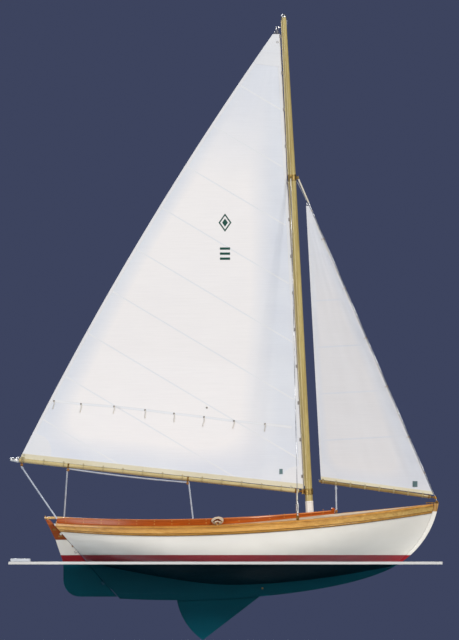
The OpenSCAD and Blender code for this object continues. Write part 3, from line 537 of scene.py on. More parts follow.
class Graph:
    def __init__(self, tree):
        self.nt = tree

    def node(self, kind, sockets=None, **props):
        n = self.nt.nodes.new("ShaderNode" + kind)
        for k, v in props.items():
            setattr(n, k, v)
        for k, v in (sockets or {}).items():
            if isinstance(v, bpy.types.NodeSocket):
                self.nt.links.new(v, n.inputs[k])
            else:
                n.inputs[k].default_value = v
        return n

    def math(self, op, a, b=0.0):
        return self.node("Math", {0: a, 1: b}, operation=op).outputs[0]

    def seen(self):
        """1 on rays from the camera and on what mirrors and glass show, and 0 on the rest."""
        path = self.node("LightPath").outputs
        shown = self.math("MAXIMUM", path["Is Camera Ray"], path["Is Glossy Ray"])
        return self.math("MAXIMUM", shown, path["Is Transmission Ray"])


class Mat(Graph):
    def __init__(self, name, **sockets):
        self.m = bpy.data.materials.new(name)
        self.m.use_nodes = True
        super().__init__(self.m.node_tree)
        self.bsdf = self.nt.nodes["Principled BSDF"]
        for k, v in sockets.items():
            self.bsdf.inputs[k.replace("_", " ")].default_value = v

    def place(self, grain=False):
        """Where a point is on the object, or along and across its piece."""
        if grain:
            return self.node("Attribute", attribute_name="grain").outputs["Vector"]
        return self.node("TexCoord").outputs["Object"]

    def part(self, axis, grain=False):
        return self.node("SeparateXYZ", {"Vector": self.place(grain)}).outputs[axis]

    def noise(self, scale, detail=4, rough=0.55, grain=False, warp=0):
        at = self.node("Mapping", {"Vector": self.place(grain), "Scale": scale}).outputs["Vector"]
        return self.node("TexNoise", {"Vector": at, "Scale": 1.0, "Detail": detail, "Roughness": rough,
                                      "Distortion": warp}).outputs["Fac"]

    def ramp(self, fac, *stops):
        n = self.node("ValToRGB", {"Fac": fac})
        el = n.color_ramp.elements
        while len(el) < len(stops):
            el.new(0.5)
        for e, (p, c) in zip(el, stops):
            e.position = p
            e.color = shade(c)
        return n.outputs["Color"]

    def mix(self, fac, a, b, mode="MIX"):
        sockets = {0: fac, 6: shade(a), 7: shade(b)}
        return self.node("Mix", sockets, data_type="RGBA", blend_type=mode).outputs[2]

    def height(self):
        """Height of a point in millimetres above the waterline, at rest."""
        return self.math("MULTIPLY", self.part("Z"), 1 / MM)

    def bump(self, height, distance, strength, normal=None):
        sockets = {"Height": height, "Distance": distance * MM, "Strength": strength}
        if normal:
            sockets["Normal"] = normal
        return self.node("Bump", sockets).outputs["Normal"]

    def out(self, **links):
        for k, v in links.items():
            self.nt.links.new(v, self.bsdf.inputs[k.replace("_", " ")])
        return self.m


def wood(name, light, mid, dark, axis="X", grain=False, rough=0.34, coat=0.55, fine=2400, shine=0.14,
         plank_tone_and_bow_shade=False):
    k = Mat(name, Coat_Weight=coat, Coat_Roughness=0.17, Specular_IOR_Level=shine)
    long = {"X": (45, fine, fine), "Z": (fine, fine, 45)}[axis]
    broad = tuple(v * 0.14 for v in long)
    streak = k.noise(long, 5, 0.6, grain, 0.3)
    colour = k.ramp(streak, (0.28, dark), (0.47, mid), (0.72, light))
    figure = k.ramp(k.noise(broad, 3, 0.5, grain, 0.8), (0.3, dark), (0.52, mid), (0.75, light))
    colour = k.mix(0.55, colour, figure)
    pores = k.ramp(k.noise(tuple(v * 2.6 for v in long), 2, 0.6, grain), (0.36, 0.62), (0.46, 1.0))
    colour = k.mix(0.7, colour, pores, "MULTIPLY")
    tone = k.ramp(k.noise((9, 9, 9), 2), (0.3, 0.88), (0.7, 1.06))
    colour = k.mix(1.0, colour, tone, "MULTIPLY")
    if plank_tone_and_bow_shade:
        edge = k.ramp(k.math("MULTIPLY", k.part("Y", True), 110.0),
                      (0.34, 1.0), (0.62, 0.96), (0.86, (226, 214, 196)))
        colour = k.mix(1.0, colour, edge, "MULTIPLY")
        # Painted shade and reflection: towards the bow the plank's oak is multiplied by a cool grey
        fore = k.ramp(k.math("MULTIPLY", k.part("X"), 4.6), (0.3, 1.0), (0.9, (0.72, 0.86, 0.95, 1)))
        colour = k.mix(1.0, colour, fore, "MULTIPLY")
    gloss = k.ramp(k.noise((160, 160, 160), 3), (0.3, rough * 0.85), (0.7, rough * 1.25))
    return k.out(Base_Color=colour, Roughness=gloss, Normal=k.bump(streak, 0.04, 0.5))


def painted(k, colour, rough):
    """Brush marks, a fine orange peel and a little change of tone over a paint colour."""
    tone = k.ramp(k.noise((14, 14, 22), 3), (0.3, 0.93), (0.7, 1.03))
    colour = k.mix(1.0, colour, tone, "MULTIPLY")
    specks = k.ramp(k.noise((900, 900, 900), 2), (0.24, 0.8), (0.3, 1.0))
    colour = k.mix(0.5, colour, specks, "MULTIPLY")
    brush = k.noise((60, 700, 700), 3, 0.6)
    normal = k.bump(k.noise((420, 420, 420), 2), 0.03, 0.35, k.bump(brush, 0.03, 0.4))
    gloss = k.ramp(brush, (0.25, rough * 0.85), (0.75, rough * 1.25))
    return k.out(Base_Color=colour, Roughness=gloss, Normal=normal)


def paint(name, colour, dim, rough=0.34, coat=0.2, shine=0.5):
    k = Mat(name, Coat_Weight=coat, Coat_Roughness=0.2, Specular_IOR_Level=shine)
    return painted(k, k.mix(k.ramp(k.noise((5, 5, 30), 3), (0.4, 0.0), (0.75, 0.6)), colour, dim), rough)


def banded_paint(name, varnish_z=1000.0):
    """White above the boot top, red between it and the waterline, green below, and varnish above a height."""
    k = Mat(name, Specular_IOR_Level=0.1)
    z = k.math("ADD", k.height(), k.math("MULTIPLY", k.noise((90, 90, 90), 2), 0.3))
    low = k.mix(k.math("GREATER_THAN", z, 1.6), GREEN, RED)
    high = k.mix(k.math("GREATER_THAN", z, BOOT_Z + 0.1), low, WHITE)
    grain = k.ramp(k.noise((900, 900, 60), 4, 0.6), (0.3, (146, 104, 56)), (0.7, (206, 166, 108)))
    return painted(k, k.mix(k.math("GREATER_THAN", z, varnish_z), high, grain), 0.34)


def metal(name, colour, dull, rough=0.3):
    k = Mat(name, Metallic=1.0)
    spots = k.noise((500, 500, 500), 5, 0.65)
    colour = k.mix(k.ramp(spots, (0.42, 0.0), (0.72, 0.85)), colour, dull)
    gloss = k.ramp(k.noise((900, 900, 260), 3), (0.3, rough * 0.8), (0.7, rough * 1.5))
    return k.out(Base_Color=colour, Roughness=gloss, Normal=k.bump(spots, 0.02, 0.4))


def cloth(name, colour, dim, lit_centre_tone=None, period=0.5):
    """Plain weave, with slubs in the yarn and a soft change of tone. Where a lighter tone is given, it is
    painted light: the middle of a sail, read from its inside attribute, turns lighter and warmer, and its
    edges stay cooler as painted shade.
    """
    k = Mat(name, Sheen_Weight=0.15, Sheen_Roughness=0.5, Specular_IOR_Level=0.25)
    yarn = {"Vector": k.place(), "Scale": tau / (20 * period * MM), "Distortion": 0.4, "Detail": 1.0}
    weft, warp = (k.node("TexWave", yarn, bands_direction=d).outputs["Fac"] for d in "ZX")
    weave = k.math("MULTIPLY", weft, warp)
    slubs = k.noise((30, 30, 900), 4, 0.6)
    tone = k.ramp(k.noise((14, 14, 14), 4, 0.6), (0.32, dim), (0.66, colour))
    if lit_centre_tone:
        lit_centre_mask = k.ramp(k.node("Attribute", attribute_name="inside").outputs["Fac"], (0.05, 0.0), (0.55, 1.0))
        tone = k.mix(lit_centre_mask, tone, k.mix(0.72, tone, lit_centre_tone))
    tone = k.mix(0.3, tone, k.ramp(slubs, (0.3, 0.9), (0.7, 1.02)), "MULTIPLY")
    tone = k.mix(0.14, tone, k.ramp(weave, (0.0, 0.72), (0.6, 1.0)), "MULTIPLY")
    normal = k.bump(weave, 0.05, 0.35, k.bump(k.noise((26, 26, 26), 3, 0.5), 0.5, 0.4))
    k.bsdf.inputs["Roughness"].default_value = 0.82
    return k.out(Base_Color=tone, Normal=normal)


def fibre(name, colour, dim):
    k = Mat(name, Sheen_Weight=0.2, Specular_IOR_Level=0.2)
    fuzz = k.noise((2500, 2500, 2500), 3, 0.7)
    tone = k.mix(k.ramp(k.noise((120, 120, 120), 3), (0.35, 0.0), (0.7, 0.8)), colour, dim)
    tone = k.mix(0.5, tone, k.ramp(fuzz, (0.3, 0.7), (0.7, 1.05)), "MULTIPLY")
    k.bsdf.inputs["Roughness"].default_value = 0.85
    return k.out(Base_Color=tone, Normal=k.bump(fuzz, 0.06, 0.6))


WHITE = (233, 229, 222)
RED = (150, 36, 45)
GREEN = (1, 76, 92)

white_paint = paint("topside_paint", WHITE, (224, 217, 205))
inside_paint = wood("inside_cedar", (206, 158, 104), (182, 130, 80), (140, 92, 50), rough=0.45, coat=0.25)
red_paint = paint("boot_paint", RED, (120, 25, 34))
green_paint = paint("bottom_paint", GREEN, (1, 60, 76), 0.5, 0.0, 0.08)
# A darker copy of the bottom paint for the bottom planking, which is painted shade under the plate
shaded_bottom_paint = paint("shaded_bottom_paint", (1, 38, 49), (1, 28, 38), 0.55, 0.0, 0.04)
hull_paint = banded_paint("rudder_paint")
stem_paint = banded_paint("stem_paint", 53.2)
pin_paint = banded_paint("pin_paint", 33.0)
buff_canvas = cloth("deck_canvas", (190, 163, 124), (172, 146, 110), period=0.9)
coaming_wood = wood("coaming_mahogany", (202, 104, 24), (170, 77, 12), (114, 43, 6), grain=True, coat=0.35,
                    shine=0.08)
highlight_bead_wood = wood("highlight_bead_mahogany", (222, 142, 78), (196, 108, 46), (150, 72, 26), grain=True, rough=0.26,
                 coat=0.8)
bench_wood = wood("bench_mahogany", (186, 100, 46), (152, 72, 28), (104, 44, 16), rough=0.42, coat=0.22)
plank_wood = wood("sheer_oak", (240, 194, 118), (222, 166, 88), (178, 122, 54), plank_tone_and_bow_shade=True)
strake_wood = wood("golden_strake", (230, 178, 98), (207, 146, 66), (158, 100, 36))
shaded_rail_wood = wood("shaded_rail_oak", (196, 150, 74), (168, 122, 52), (122, 82, 30))
frame_wood = wood("frame_oak", (190, 136, 80), (158, 106, 56), (112, 70, 32), axis="Z", rough=0.4, coat=0.3)
sole_wood = wood("sole_boards", (200, 152, 90), (172, 122, 64), (126, 82, 38), rough=0.45, coat=0.3)
block_wood = wood("block_ash", (176, 128, 78), (146, 100, 56), (104, 66, 32), rough=0.4, fine=3000)
mast_wood = wood("mast_spruce", (208, 192, 134), (184, 164, 100), (136, 112, 56), axis="Z", fine=1900,
                 shine=0.3)
boom_wood = wood("boom_spruce", (224, 210, 164), (198, 180, 130), (148, 126, 78), fine=1900)
# The jib club's spruce is darker than the boom's, which is painted shade
shaded_club_wood = wood("shaded_club_spruce", (172, 150, 100), (140, 116, 70), (96, 74, 38), fine=1900)
seam_and_shadow_wood = wood("dark_seam_and_shadow", (104, 66, 28), (80, 48, 20), (52, 30, 12))
tiller_wood = wood("tiller_ash", (226, 190, 130), (204, 162, 98), (160, 116, 62), grain=True)
bronze = metal("aged_bronze", (176, 132, 70), (84, 62, 38), 0.36)
brass_pale = metal("old_brass", (178, 152, 92), (116, 94, 52), 0.4)
nickel = metal("nickel", (206, 206, 204), (150, 146, 138), 0.28)
wire = metal("stay_wire", (190, 192, 196), (128, 128, 130), 0.34)
sail_cloth = cloth("sailcloth", (224, 227, 234), (216, 220, 230), (246, 241, 239))
# The jib's cloth and tape are a dimmer copy of the mainsail's, which is painted shade
shaded_jib_canvas = cloth("shaded_jib_canvas", (213, 215, 222), (206, 209, 218), (220, 217, 218))
sail_tape = cloth("sail_tape", (229, 229, 232), (221, 223, 229), period=0.4)
shaded_jib_tape = cloth("shaded_jib_tape", (217, 218, 223), (209, 211, 219), period=0.4)
seam_tape = cloth("seam_tape", (232, 233, 237), (227, 229, 234), period=0.4)
foot_tape = cloth("foot_tape", (222, 216, 194), (208, 199, 170), period=0.4)
green_cloth = cloth("green_applique", (34, 84, 74), (24, 66, 58), period=0.4)
hole_shade = cloth("eyelet_hole_shade", (150, 146, 144), (120, 116, 114), period=0.4)
dark_cloth = cloth("dark_patch", (108, 134, 136), (80, 102, 106), period=0.4)
thread = fibre("sail_thread", (226, 223, 221), (210, 207, 205))
sheet_rope = fibre("sheet_rope", (192, 198, 210), (162, 170, 186))
coil_rope = fibre("coil_rope", (212, 194, 172), (180, 158, 134))
marline = fibre("marline", (186, 172, 132), (150, 134, 94))
cotton = fibre("cotton_line", (226, 220, 206), (200, 190, 170))
brass_dull = metal("eyelet_metal", (160, 154, 146), (104, 98, 92), 0.45)
tarred = fibre("tarred_twine", (70, 60, 50), (46, 38, 32))


def clear_sheet(name):
    k = Mat(name, Base_Color=rgb(240, 248, 250), Transmission_Weight=1.0, IOR=1.49)
    scuffs = k.noise((300, 40, 300), 5, 0.7)
    return k.out(Roughness=k.ramp(scuffs, (0.5, 0.02), (0.8, 0.1)), Normal=k.bump(scuffs, 0.01, 0.15))


def frosted(name, colour, pass_on):
    k = Mat(name, Transmission_Weight=pass_on, IOR=1.49)
    grit = k.noise((1400, 1400, 1400), 4, 0.7)
    tone = k.mix(0.4, colour, k.ramp(k.noise((60, 60, 200), 3), (0.3, 0.86), (0.7, 1.02)), "MULTIPLY")
    gloss = k.ramp(grit, (0.3, 0.5), (0.7, 0.75))
    return k.out(Base_Color=tone, Roughness=gloss, Normal=k.bump(grit, 0.03, 0.5))


plate_face = clear_sheet("clear_plate")
plate_edge = frosted("sanded_edge", (222, 221, 220), 0.15)
tag_face = frosted("frosted_tag", (202, 206, 214), 0.1)


def studio_floor(name):
    """Pale to the eye and in reflections, and duller as a source of light from below."""
    k = Mat(name, Roughness=0.8)
    pale = k.mix(k.noise((6, 6, 6), 3), (214, 217, 222), (206, 210, 216))
    return k.out(Base_Color=k.mix(k.seen(), (58, 60, 64), pale))


floor_paint = studio_floor("floor")

# Hull

STATIONS = steps(150)


def strip(low, high, rows, out, inner):
    """Rings of planking between two heights, from its outside to its inside."""
    rings = []
    for u in STATIONS:
        zs = [lerp(low(u), high(u), k) for k in steps(rows)]
        rings.append([skin(u, z, out) for z in zs] + [skin(u, z, inner) for z in reversed(zs)])
    return rings


def side_piece(rings, name, slot, mat, replaces=(), bevel=0, outer=None):
    """One side lofted and mirrored. Past the outer columns, the faces are the inside of the hull."""
    s = Shape()
    s.loft(rings, (lambda j: int(j > outer)) if outer else 0)
    s.both()
    s.piece(name, "hull", slot, [mat, inside_paint] if outer else mat, replaces, HULL_SHARP, bevel)


EDGE_X, EDGE_Y = 0.221, 0.101
from_node("waterline_plate", "plate_clear", "hull", "clear_plate", [plate_face, plate_edge], 0.3,
          choose=lambda p: int(abs(p.normal.z) < 0.5
                               and (abs(p.center.x) > EDGE_X or abs(p.center.y) > EDGE_Y)))
from_node("plate_tag", "tag_blank", "hull", "tag_white", tag_face, 0.5)
low, high = (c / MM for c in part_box("plate_tag"))
s = Shape()
for inset, w in ((2.0, 0.5), (3.4, 0.25)):
    x0, x1, y0, y1 = low[0] + inset, high[0] - inset, low[1] + inset, high[1] - inset
    for a, b in (((x0, y0), (x1, y0 + w)), ((x0, y1 - w), (x1, y1)), ((x0, y0 + w), (x0 + w, y1 - w)),
                 ((x1 - w, y0 + w), (x1, y1 - w))):
        s.box((*a, high[2] - 0.1), (*b, high[2] + 0.14))
for x in (low[0] + 5, high[0] - 5):
    for y in (low[1] + 5.2, high[1] - 5.2):
        s.lathe(V(x, y, high[2] - 0.1), UP, [(0, 0), (1.1, 0), (1.1, 0.25), (0.8, 0.5), (0, 0.6)], 16)
s.piece("tag_border", "hull", "tag_white", nickel, bevel=0.04)

BOTTOM_AFT_U = 0.045
rings = []
for u in [lerp(BOTTOM_AFT_U, 1, k) for k in STATIONS]:
    foot = rabbet_z(u)
    outer = [skin(u, lerp(foot, -PLATE_HALF, k ** 1.4), 0) for k in steps(14)]
    neck, inner = skin(u, -PLATE_HALF, GROOVE), skin(u, -PLATE_HALF, GROOVE + 1.8)
    rings.append(outer + [neck, V(neck.x, neck.y, 1.45), V(inner.x, inner.y, 1.45),
                          V(inner.x, inner.y, -PLATE_HALF), skin(u, max(foot + 0.5, -4.6), WALL),
                          skin(u, foot + 0.2, 1.2)])
side_piece(rings, "bottom_planking", "bottom_paint", shaded_bottom_paint, ("hull_bottom",), 0, 15)
side_piece(strip(lambda u: PLATE_HALF, lambda u: BOOT_Z - SEAM, 4, 0, WALL),
           "boot_band", "boot_paint", red_paint, ("boot_top",), 0.1, 4)
side_piece(strip(lambda u: BOOT_Z, lambda u: strake_foot_z(u) - SEAM, 14, 0, WALL),
           "topside_planking", "white_paint", white_paint, ("topsides",), 0.1, 14)
side_piece(strip(strake_foot_z, sheer_at, 7, -STRAKE_PROUD, WALL),
           "sheer_plank", "golden_varnish", plank_wood, ("sheer_strake",), 0.3)

# The moulding's oak is darker than the plank's, which is painted shade under the half-round
RAIL_R = 1.1
rings = []
for u in STATIONS:
    z = strake_foot_z(u) + RAIL_R
    ends = min(1, 0.35 + 14 * min(u, 1 - u))
    rings.append([skin(u, z + RAIL_R * sin(a), -STRAKE_PROUD - 0.08)
                  + V(0, RAIL_R * ends * cos(a), 0) for a in map(radians, range(-90, 91, 18))])
side_piece(rings, "rub_moulding", "golden_varnish", shaded_rail_wood, ("rub_rail",))
# A dark seam strip above the moulding, darkened to stand as the shadow line there: a joint and a painted
# shadow
SEAM_SECTION = (0.05, 0.02), (0.05, 0.16), (0.4, 0.16), (0.4, 0.02)
rings = [[skin(u, strake_foot_z(u) + 2 * RAIL_R + a, -STRAKE_PROUD - b) for a, b in SEAM_SECTION]
         for u in STATIONS]
side_piece(rings, "strake_seam_and_shadow", "golden_varnish", seam_and_shadow_wood)

from_node("stem", "stem_post", "hull", "white_paint", stem_paint, 0.5)
from_node("transom", "transom_board", "hull", "white_paint", white_paint, 0.3)
from_node("keel", "keel_timber", "hull", "bottom_paint", green_paint, 0.5)
from_node("ballast_keel", "ballast_casting", "hull", "bottom_paint", green_paint, 0.6)
s = Shape()
knee = ((-132, -1.56), (-121, -1.56), (-111, -5.6), (-126, -5.6))
s.loft([[V(x, -1.1, z) for x, z in knee], [V(x, 1.1, z) for x, z in knee]])
rake = radians(TRANSOM_RAKE)
fore = V(cos(rake), 0, sin(rake))
CHEEK_SECTION = (1.17, 1.36), (2.0, 1.36), (2.0, 2.34), (1.45, 2.34), (1.17, 2.0)
rings = [[axis_at(z) + d * fore + V(0, y, 0) for d, y in CHEEK_SECTION] for z in (-2.2, -10, -18, -27.6)]
s.loft(rings)
s.loft([[V(p.x, -p.y, p.z) for p in r] for r in rings])
s.piece("sternpost_cheeks", "hull", "bottom_paint", green_paint)
from_node("centreboard_pin", "board_pin", "hull", "bronze", bronze, 0.15)

# Deck: painted canvas inside varnished covering boards

from_node("deck", "canvas_deck", "hull", "deck_canvas", buff_canvas, 0.12)
DECK_AFT_X, DECK_FORE_X = SHEER_AFT_X + 0.5, SHEER_FORE_X - 0.2
PLANK_GAP = 0.03
PLANK_RISE = 0.36
COVER_W = 6.5
rings = []
for x in (lerp(DECK_AFT_X - 0.1, DECK_FORE_X + 0.1, k) for k in STATIONS):
    b = sheer_half(x) + STRAKE_PROUD
    w = min(COVER_W, b * 0.8)
    foot = sheer_z(x) + 0.06
    top = [deck_top_z(x, y) for y in (b, b - w / 2, b - w)]
    rings.append([V(x, y, z) for y, z in (
        (b + PLANK_GAP, foot), (b + 0.3, foot), (b + 0.3, top[0] + 0.38), (b - w / 2, top[1] + 0.38),
        (b - w, top[2] + 0.34), (b - w, top[2] + PLANK_GAP), (b - w / 2, top[1] + PLANK_GAP),
        (b + PLANK_GAP, top[0] + PLANK_GAP))])
side_piece(rings, "covering_boards", "golden_varnish", strake_wood, bevel=0.12)


def deck_plank(s, x0, x1, aft, fore, rise, n=24, mat=0):
    """A board on the crowned deck, with its half widths at both ends."""
    rings = []
    for t in steps(n):
        x = lerp(x0, x1, t)
        half = lerp(aft, fore, t)
        ys = [lerp(-half, half, k) for k in steps(8)]
        rings.append([V(x, y, deck_top_z(x, y) + PLANK_GAP) for y in ys]
                     + [V(x, y, deck_top_z(x, y) + rise) for y in reversed(ys)])
    s.loft(rings, mat)


s = Shape()
deck_plank(s, COAMING_TIP_X + 9, DECK_FORE_X - 0.3, 3.2, 1.8, PLANK_RISE)
deck_plank(s, DECK_AFT_X, DECK_AFT_X + 4.5, 35, 35, PLANK_RISE, 6)
deck_plank(s, 72, 104, 13, 7, 0.9, 12, 1)
s.piece("deck_planks", "hull", "golden_varnish", [strake_wood, bench_wood], bevel=0.15)

# Coaming: rounded boards that meet ahead of the mast

def coaming_top(x, t):
    return sheer_z(x) + COAMING_H - 1.1 * (1 - smooth(0, 0.03, t))


s = Shape()
rings = []
half = COAMING_T / 2
for t in steps(96):
    c, n = coaming_point(t), coaming_normal(t)
    top = coaming_top(c.x, t)
    ring = []
    for off, z in ((half + 0.55, 0), (half + 0.35, 0.5), (half, 0.85)):
        p = c + off * n
        ring.append(V(p.x, p.y, deck_top_z(p.x, p.y) + SEAM + z))
    for a in half_circle(6):
        p = c + half * cos(a) * n
        ring.append(V(p.x, p.y, top - half + half * sin(a)))
    ring += [V(p.x, p.y, deck_top_z(p.x, p.y) + SEAM) for p in (c - half * n, c)]
    rings.append(ring)
s.loft(rings)
s.both()
for side in (-1, 1):
    for i in range(17):
        t = 0.03 + 0.92 * i / 16
        c, n = coaming_point(t), coaming_normal(t)
        for up in (2.2, 5.2):
            p = c + (half - 0.05) * n
            s.lathe(V(p.x, side * p.y, deck_top_z(p.x, p.y) + up), V(n.x, side * n.y, 0),
                    [(0.5, 0), (0.5, 0.09), (0.4, 0.13), (0, 0.15)], 10, 1)
s.lathe(V(COAMING_TIP_X + 0.4, 0, deck_top_z(COAMING_TIP_X, 0) - 0.2), V(0.05, 0, 1),
        [(2.6, 0), (2.6, 0.7), (1.9, 1.0), (1.9, COAMING_H - 4.4), (2.3, COAMING_H - 3.9),
         (2.2, COAMING_H - 3.2), (1.2, COAMING_H - 2.5), (0, COAMING_H - 2.3)], 24)
s.piece("coaming_boards", "hull", "brown_varnish", [coaming_wood, strake_wood], ("coaming",), HULL_SHARP)
# A capping bead along the coaming's top, in a paler mahogany that is a painted highlight
rings = []
for t in (lerp(0.02, 0.99, k) for k in steps(96)):
    c, n = coaming_point(t), coaming_normal(t)
    top = coaming_top(c.x, t) - 0.35
    ring = []
    for a in half_circle(8):
        p = c + (half + 0.28) * cos(a) * n
        ring.append(V(p.x, p.y, top - 0.5 + 1.15 * sin(a)))
    for off in (-0.5, 0.5):
        p = c + off * n
        ring.append(V(p.x, p.y, top - 0.3))
    rings.append(ring)
side_piece(rings, "coaming_bead", "brown_varnish", highlight_bead_wood)

# Cockpit

for node, name, mat, slot, soft in (
        ("cockpit_sole", "sole_planks", sole_wood, "golden_varnish", 0.15),
        ("benches", "bench_boards", bench_wood, "brown_varnish", 0.4),
        ("bench_brackets", "bench_knees", bench_wood, "brown_varnish", 0.25),
        ("bulkheads", "bulkhead_panels", sole_wood, "golden_varnish", 0.2),
        ("centreboard_trunk", "trunk_sides", sole_wood, "golden_varnish", 0.3),
        ("trunk_cap", "trunk_top", bench_wood, "brown_varnish", 0.7)):
    from_node(node, name, "hull", slot, mat, soft)
BENCH_FORE_X, _, BENCH_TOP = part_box("benches")[1] / MM
s = Shape()
for side in (-1, 1):
    for y in (37.5, 44.0, 50.5):
        for x0, x1 in ((-86, -28), (-27, 30)):
            s.box((x0, side * y, BENCH_TOP - 0.05), (x1, side * (y + 0.5), BENCH_TOP + 0.06))
s.piece("bench_seams", "hull", "brown_varnish", tarred)
rings = []
for x in (lerp(-118, 150, k) for k in steps(90)):
    a, b = half_at(x, -PLATE_HALF) - GROOVE - 2.4, half_at(x, 1.9) - WALL + 0.2
    rings.append([V(x, a, 1.52), V(x, b, 1.52), V(x, b, 1.98), V(x, a, 1.98)])
side_piece(rings, "bilge_boards", "golden_varnish", inside_paint)
FRAME_SECTION = (0, 0.06), (0, 0.9), (0.35, 1.15), (1.85, 1.15), (2.2, 0.9), (2.2, 0.06)
s = Shape()
for x in range(-158, 51, 13):
    top = sheer_z(x) - 0.4
    low = BENCH_TOP + 0.3 if x < BENCH_FORE_X else 4.0
    for side in (-1, 1):
        s.loft([[V(x + dx, side * (half_at(x + dx, z) - WALL - d), z) for dx, d in FRAME_SECTION]
                for z in (lerp(low, top, k) for k in steps(12))])
s.piece("cockpit_frames", "hull", "golden_varnish", frame_wood)


def horn_cleat(s, base, size=1.0):
    """A cleat with two tapered horns on two legs."""
    def put(x, z):
        return base + size * V(x, 0, z)
    leg = [(r * size, h * size) for r, h in ((1.1, 0), (1.0, 0.4), (0.65, 0.9), (0.6, 2.8))]
    for x in (-1.8, 1.8):
        s.lathe(put(x, 0), UP, leg, 14)
    path = [put(lerp(-5, 5, t), 3 + 0.5 * (2 * t - 1) ** 2) for t in steps(20)]
    s.tube(path, lambda t: size * (0.34 + 0.46 * sin(pi * min(1, max(0, t))) ** 0.5), 12)


s = Shape()
CLEAT_X = -8
cleat_y = sheer_half(CLEAT_X) - 4
cleat_z = deck_seat(CLEAT_X, cleat_y, 2.5, 0.7)
for side in (-1, 1):
    horn_cleat(s, V(CLEAT_X, side * cleat_y, cleat_z))
s.piece("deck_cleats", "hull", "bronze", bronze, ("coaming_cleats",))
s = Shape()
SHEET_CLEAT = V(-32, 0, TRUNK_Z + 2.5)
horn_cleat(s, SHEET_CLEAT, 1.1)
s.piece("sheet_cleat", "hull", "bronze", bronze)

# Ropes: three strands laid round each other

def spline(points, step):
    """Points every step along a smooth curve through the given ones."""
    pts = [points[0] * 2 - points[1]] + list(points) + [points[-1] * 2 - points[-2]]
    out = []
    for i in range(1, len(pts) - 2):
        a, b, c, d = pts[i - 1:i + 3]
        n = max(2, int((c - b).length / step))
        for k in range(n):
            t = k / n
            out.append(0.5 * (2 * b + (c - a) * t + (2 * a - 5 * b + 4 * c - d) * t * t
                              + (3 * b - a - 3 * c + d) * t ** 3))
    return out + [pts[-2]]


STRANDS = 3
TWINE_PITCH = 0.45


def lay_rope(s, points, r, sides=6, pitch=7, step=0.55):
    path = spline(points, step)
    lines = [[] for _ in range(STRANDS)]
    turn = 0
    for i, (p, normal, side) in enumerate(frames(path)):
        for strand, b in zip(lines, circle(STRANDS)):
            a = turn + b
            strand.append(p + 0.5 * r * (cos(a) * normal + sin(a) * side))
        if i < len(path) - 1:
            turn += tau * (path[i + 1] - p).length / (pitch * r)
    for strand in lines:
        s.tube(strand, 0.54 * r, sides)


def whip(s, a, b, r, mat):
    """A served length: twine wound close round a rope or wire."""
    n = max(4, int((b - a).length / TWINE_PITCH))
    s.tube([lerp(a, b, t) for t in steps(2 * n)],
           lambda t: r * (1 + 0.08 * cos(tau * n * t)), 10, mat)


# Standing rigging

chain_y = sheer_half(CHAINPLATE_X) - 2
chain_foot = deck_seat(CHAINPLATE_X, chain_y, 1.5, 0.4)
SHROUD_FOOT = V(CHAINPLATE_X, chain_y, chain_foot + 5)
SHROUD_HEAD = mast_at(HOUNDS_Z) + V(-1.6, MAST_R + 1.2, 0)
SHROUD_DIR = (SHROUD_HEAD - SHROUD_FOOT).normalized()
STAY_DIR = (STAY_HEAD - STAY_FOOT).normalized()
WIRE_R = 0.41
s = Shape()
ends = STAY_FOOT + 0.5 * STAY_DIR, STAY_HEAD - 1.6 * STAY_DIR
lay_rope(s, ends, WIRE_R, step=1.0, pitch=12)
whip(s, ends[1] - 26 * STAY_DIR, ends[1], 0.85, 1)
s.piece("forestay_wire", "hull", "bright_metal", [wire, cotton], ("forestay",))
s = Shape()
ends = SHROUD_FOOT + 16.05 * SHROUD_DIR, SHROUD_HEAD - 1.2 * SHROUD_DIR
lay_rope(s, ends, WIRE_R, step=1.0, pitch=12)
whip(s, ends[0], ends[0] + 9 * SHROUD_DIR, 0.6, 1)
whip(s, ends[1] - 8 * SHROUD_DIR, ends[1], 0.6, 1)
s.both()
s.piece("shroud_wires", "hull", "bright_metal", [wire, cotton], ("shrouds",))

THREAD_PITCH = 0.35


def up_shroud(d, side=0.0):
    return SHROUD_FOOT + d * SHROUD_DIR + V(side, 0, 0)


s = Shape()
s.lathe(up_shroud(0.1), SHROUD_DIR, [(0.9, 0), (0.9, 1.2), (0.62, 1.6), (0.62, 3.2)], 16)
for d in (3.2, 11.0):
    s.lathe(up_shroud(d), SHROUD_DIR, [(0.8, 0), (1.15, 0.3), (1.15, 1.5), (0.8, 1.8)], 12)
for side in (-0.8, 0.8):
    s.tube([up_shroud(lerp(4.4, 11.6, k), side) for k in steps(6)], 0.36, 10)
for d0, d1 in ((3.0, 6.8), (9.2, 15.9)):
    n = int((d1 - d0) / THREAD_PITCH)
    s.tube([up_shroud(lerp(d0, d1, k)) for k in steps(2 * n)],
           lambda t, n=n: 0.42 + 0.06 * cos(tau * n * t), 10)
s.lathe(up_shroud(13.2), SHROUD_DIR, [(0.5, 0), (0.95, 0.3), (0.95, 2.2), (0.5, 2.7)], 12)
s.both()
s.piece("rigging_screws", "hull", "bright_metal", nickel, ("turnbuckles",))
for node, name, mat in (("chainplates", "chain_straps", bronze),
                        ("gooseneck_band", "gooseneck_strap", brass_pale),
                        ("hounds_band", "hounds_strap", brass_pale),
                        ("stemhead_fitting", "stemhead_plate", bronze),
                        ("gudgeons", "gudgeon_eyes", hull_paint)):
    from_node(node, name, "hull", "bronze", mat, 0.15)

# Mast

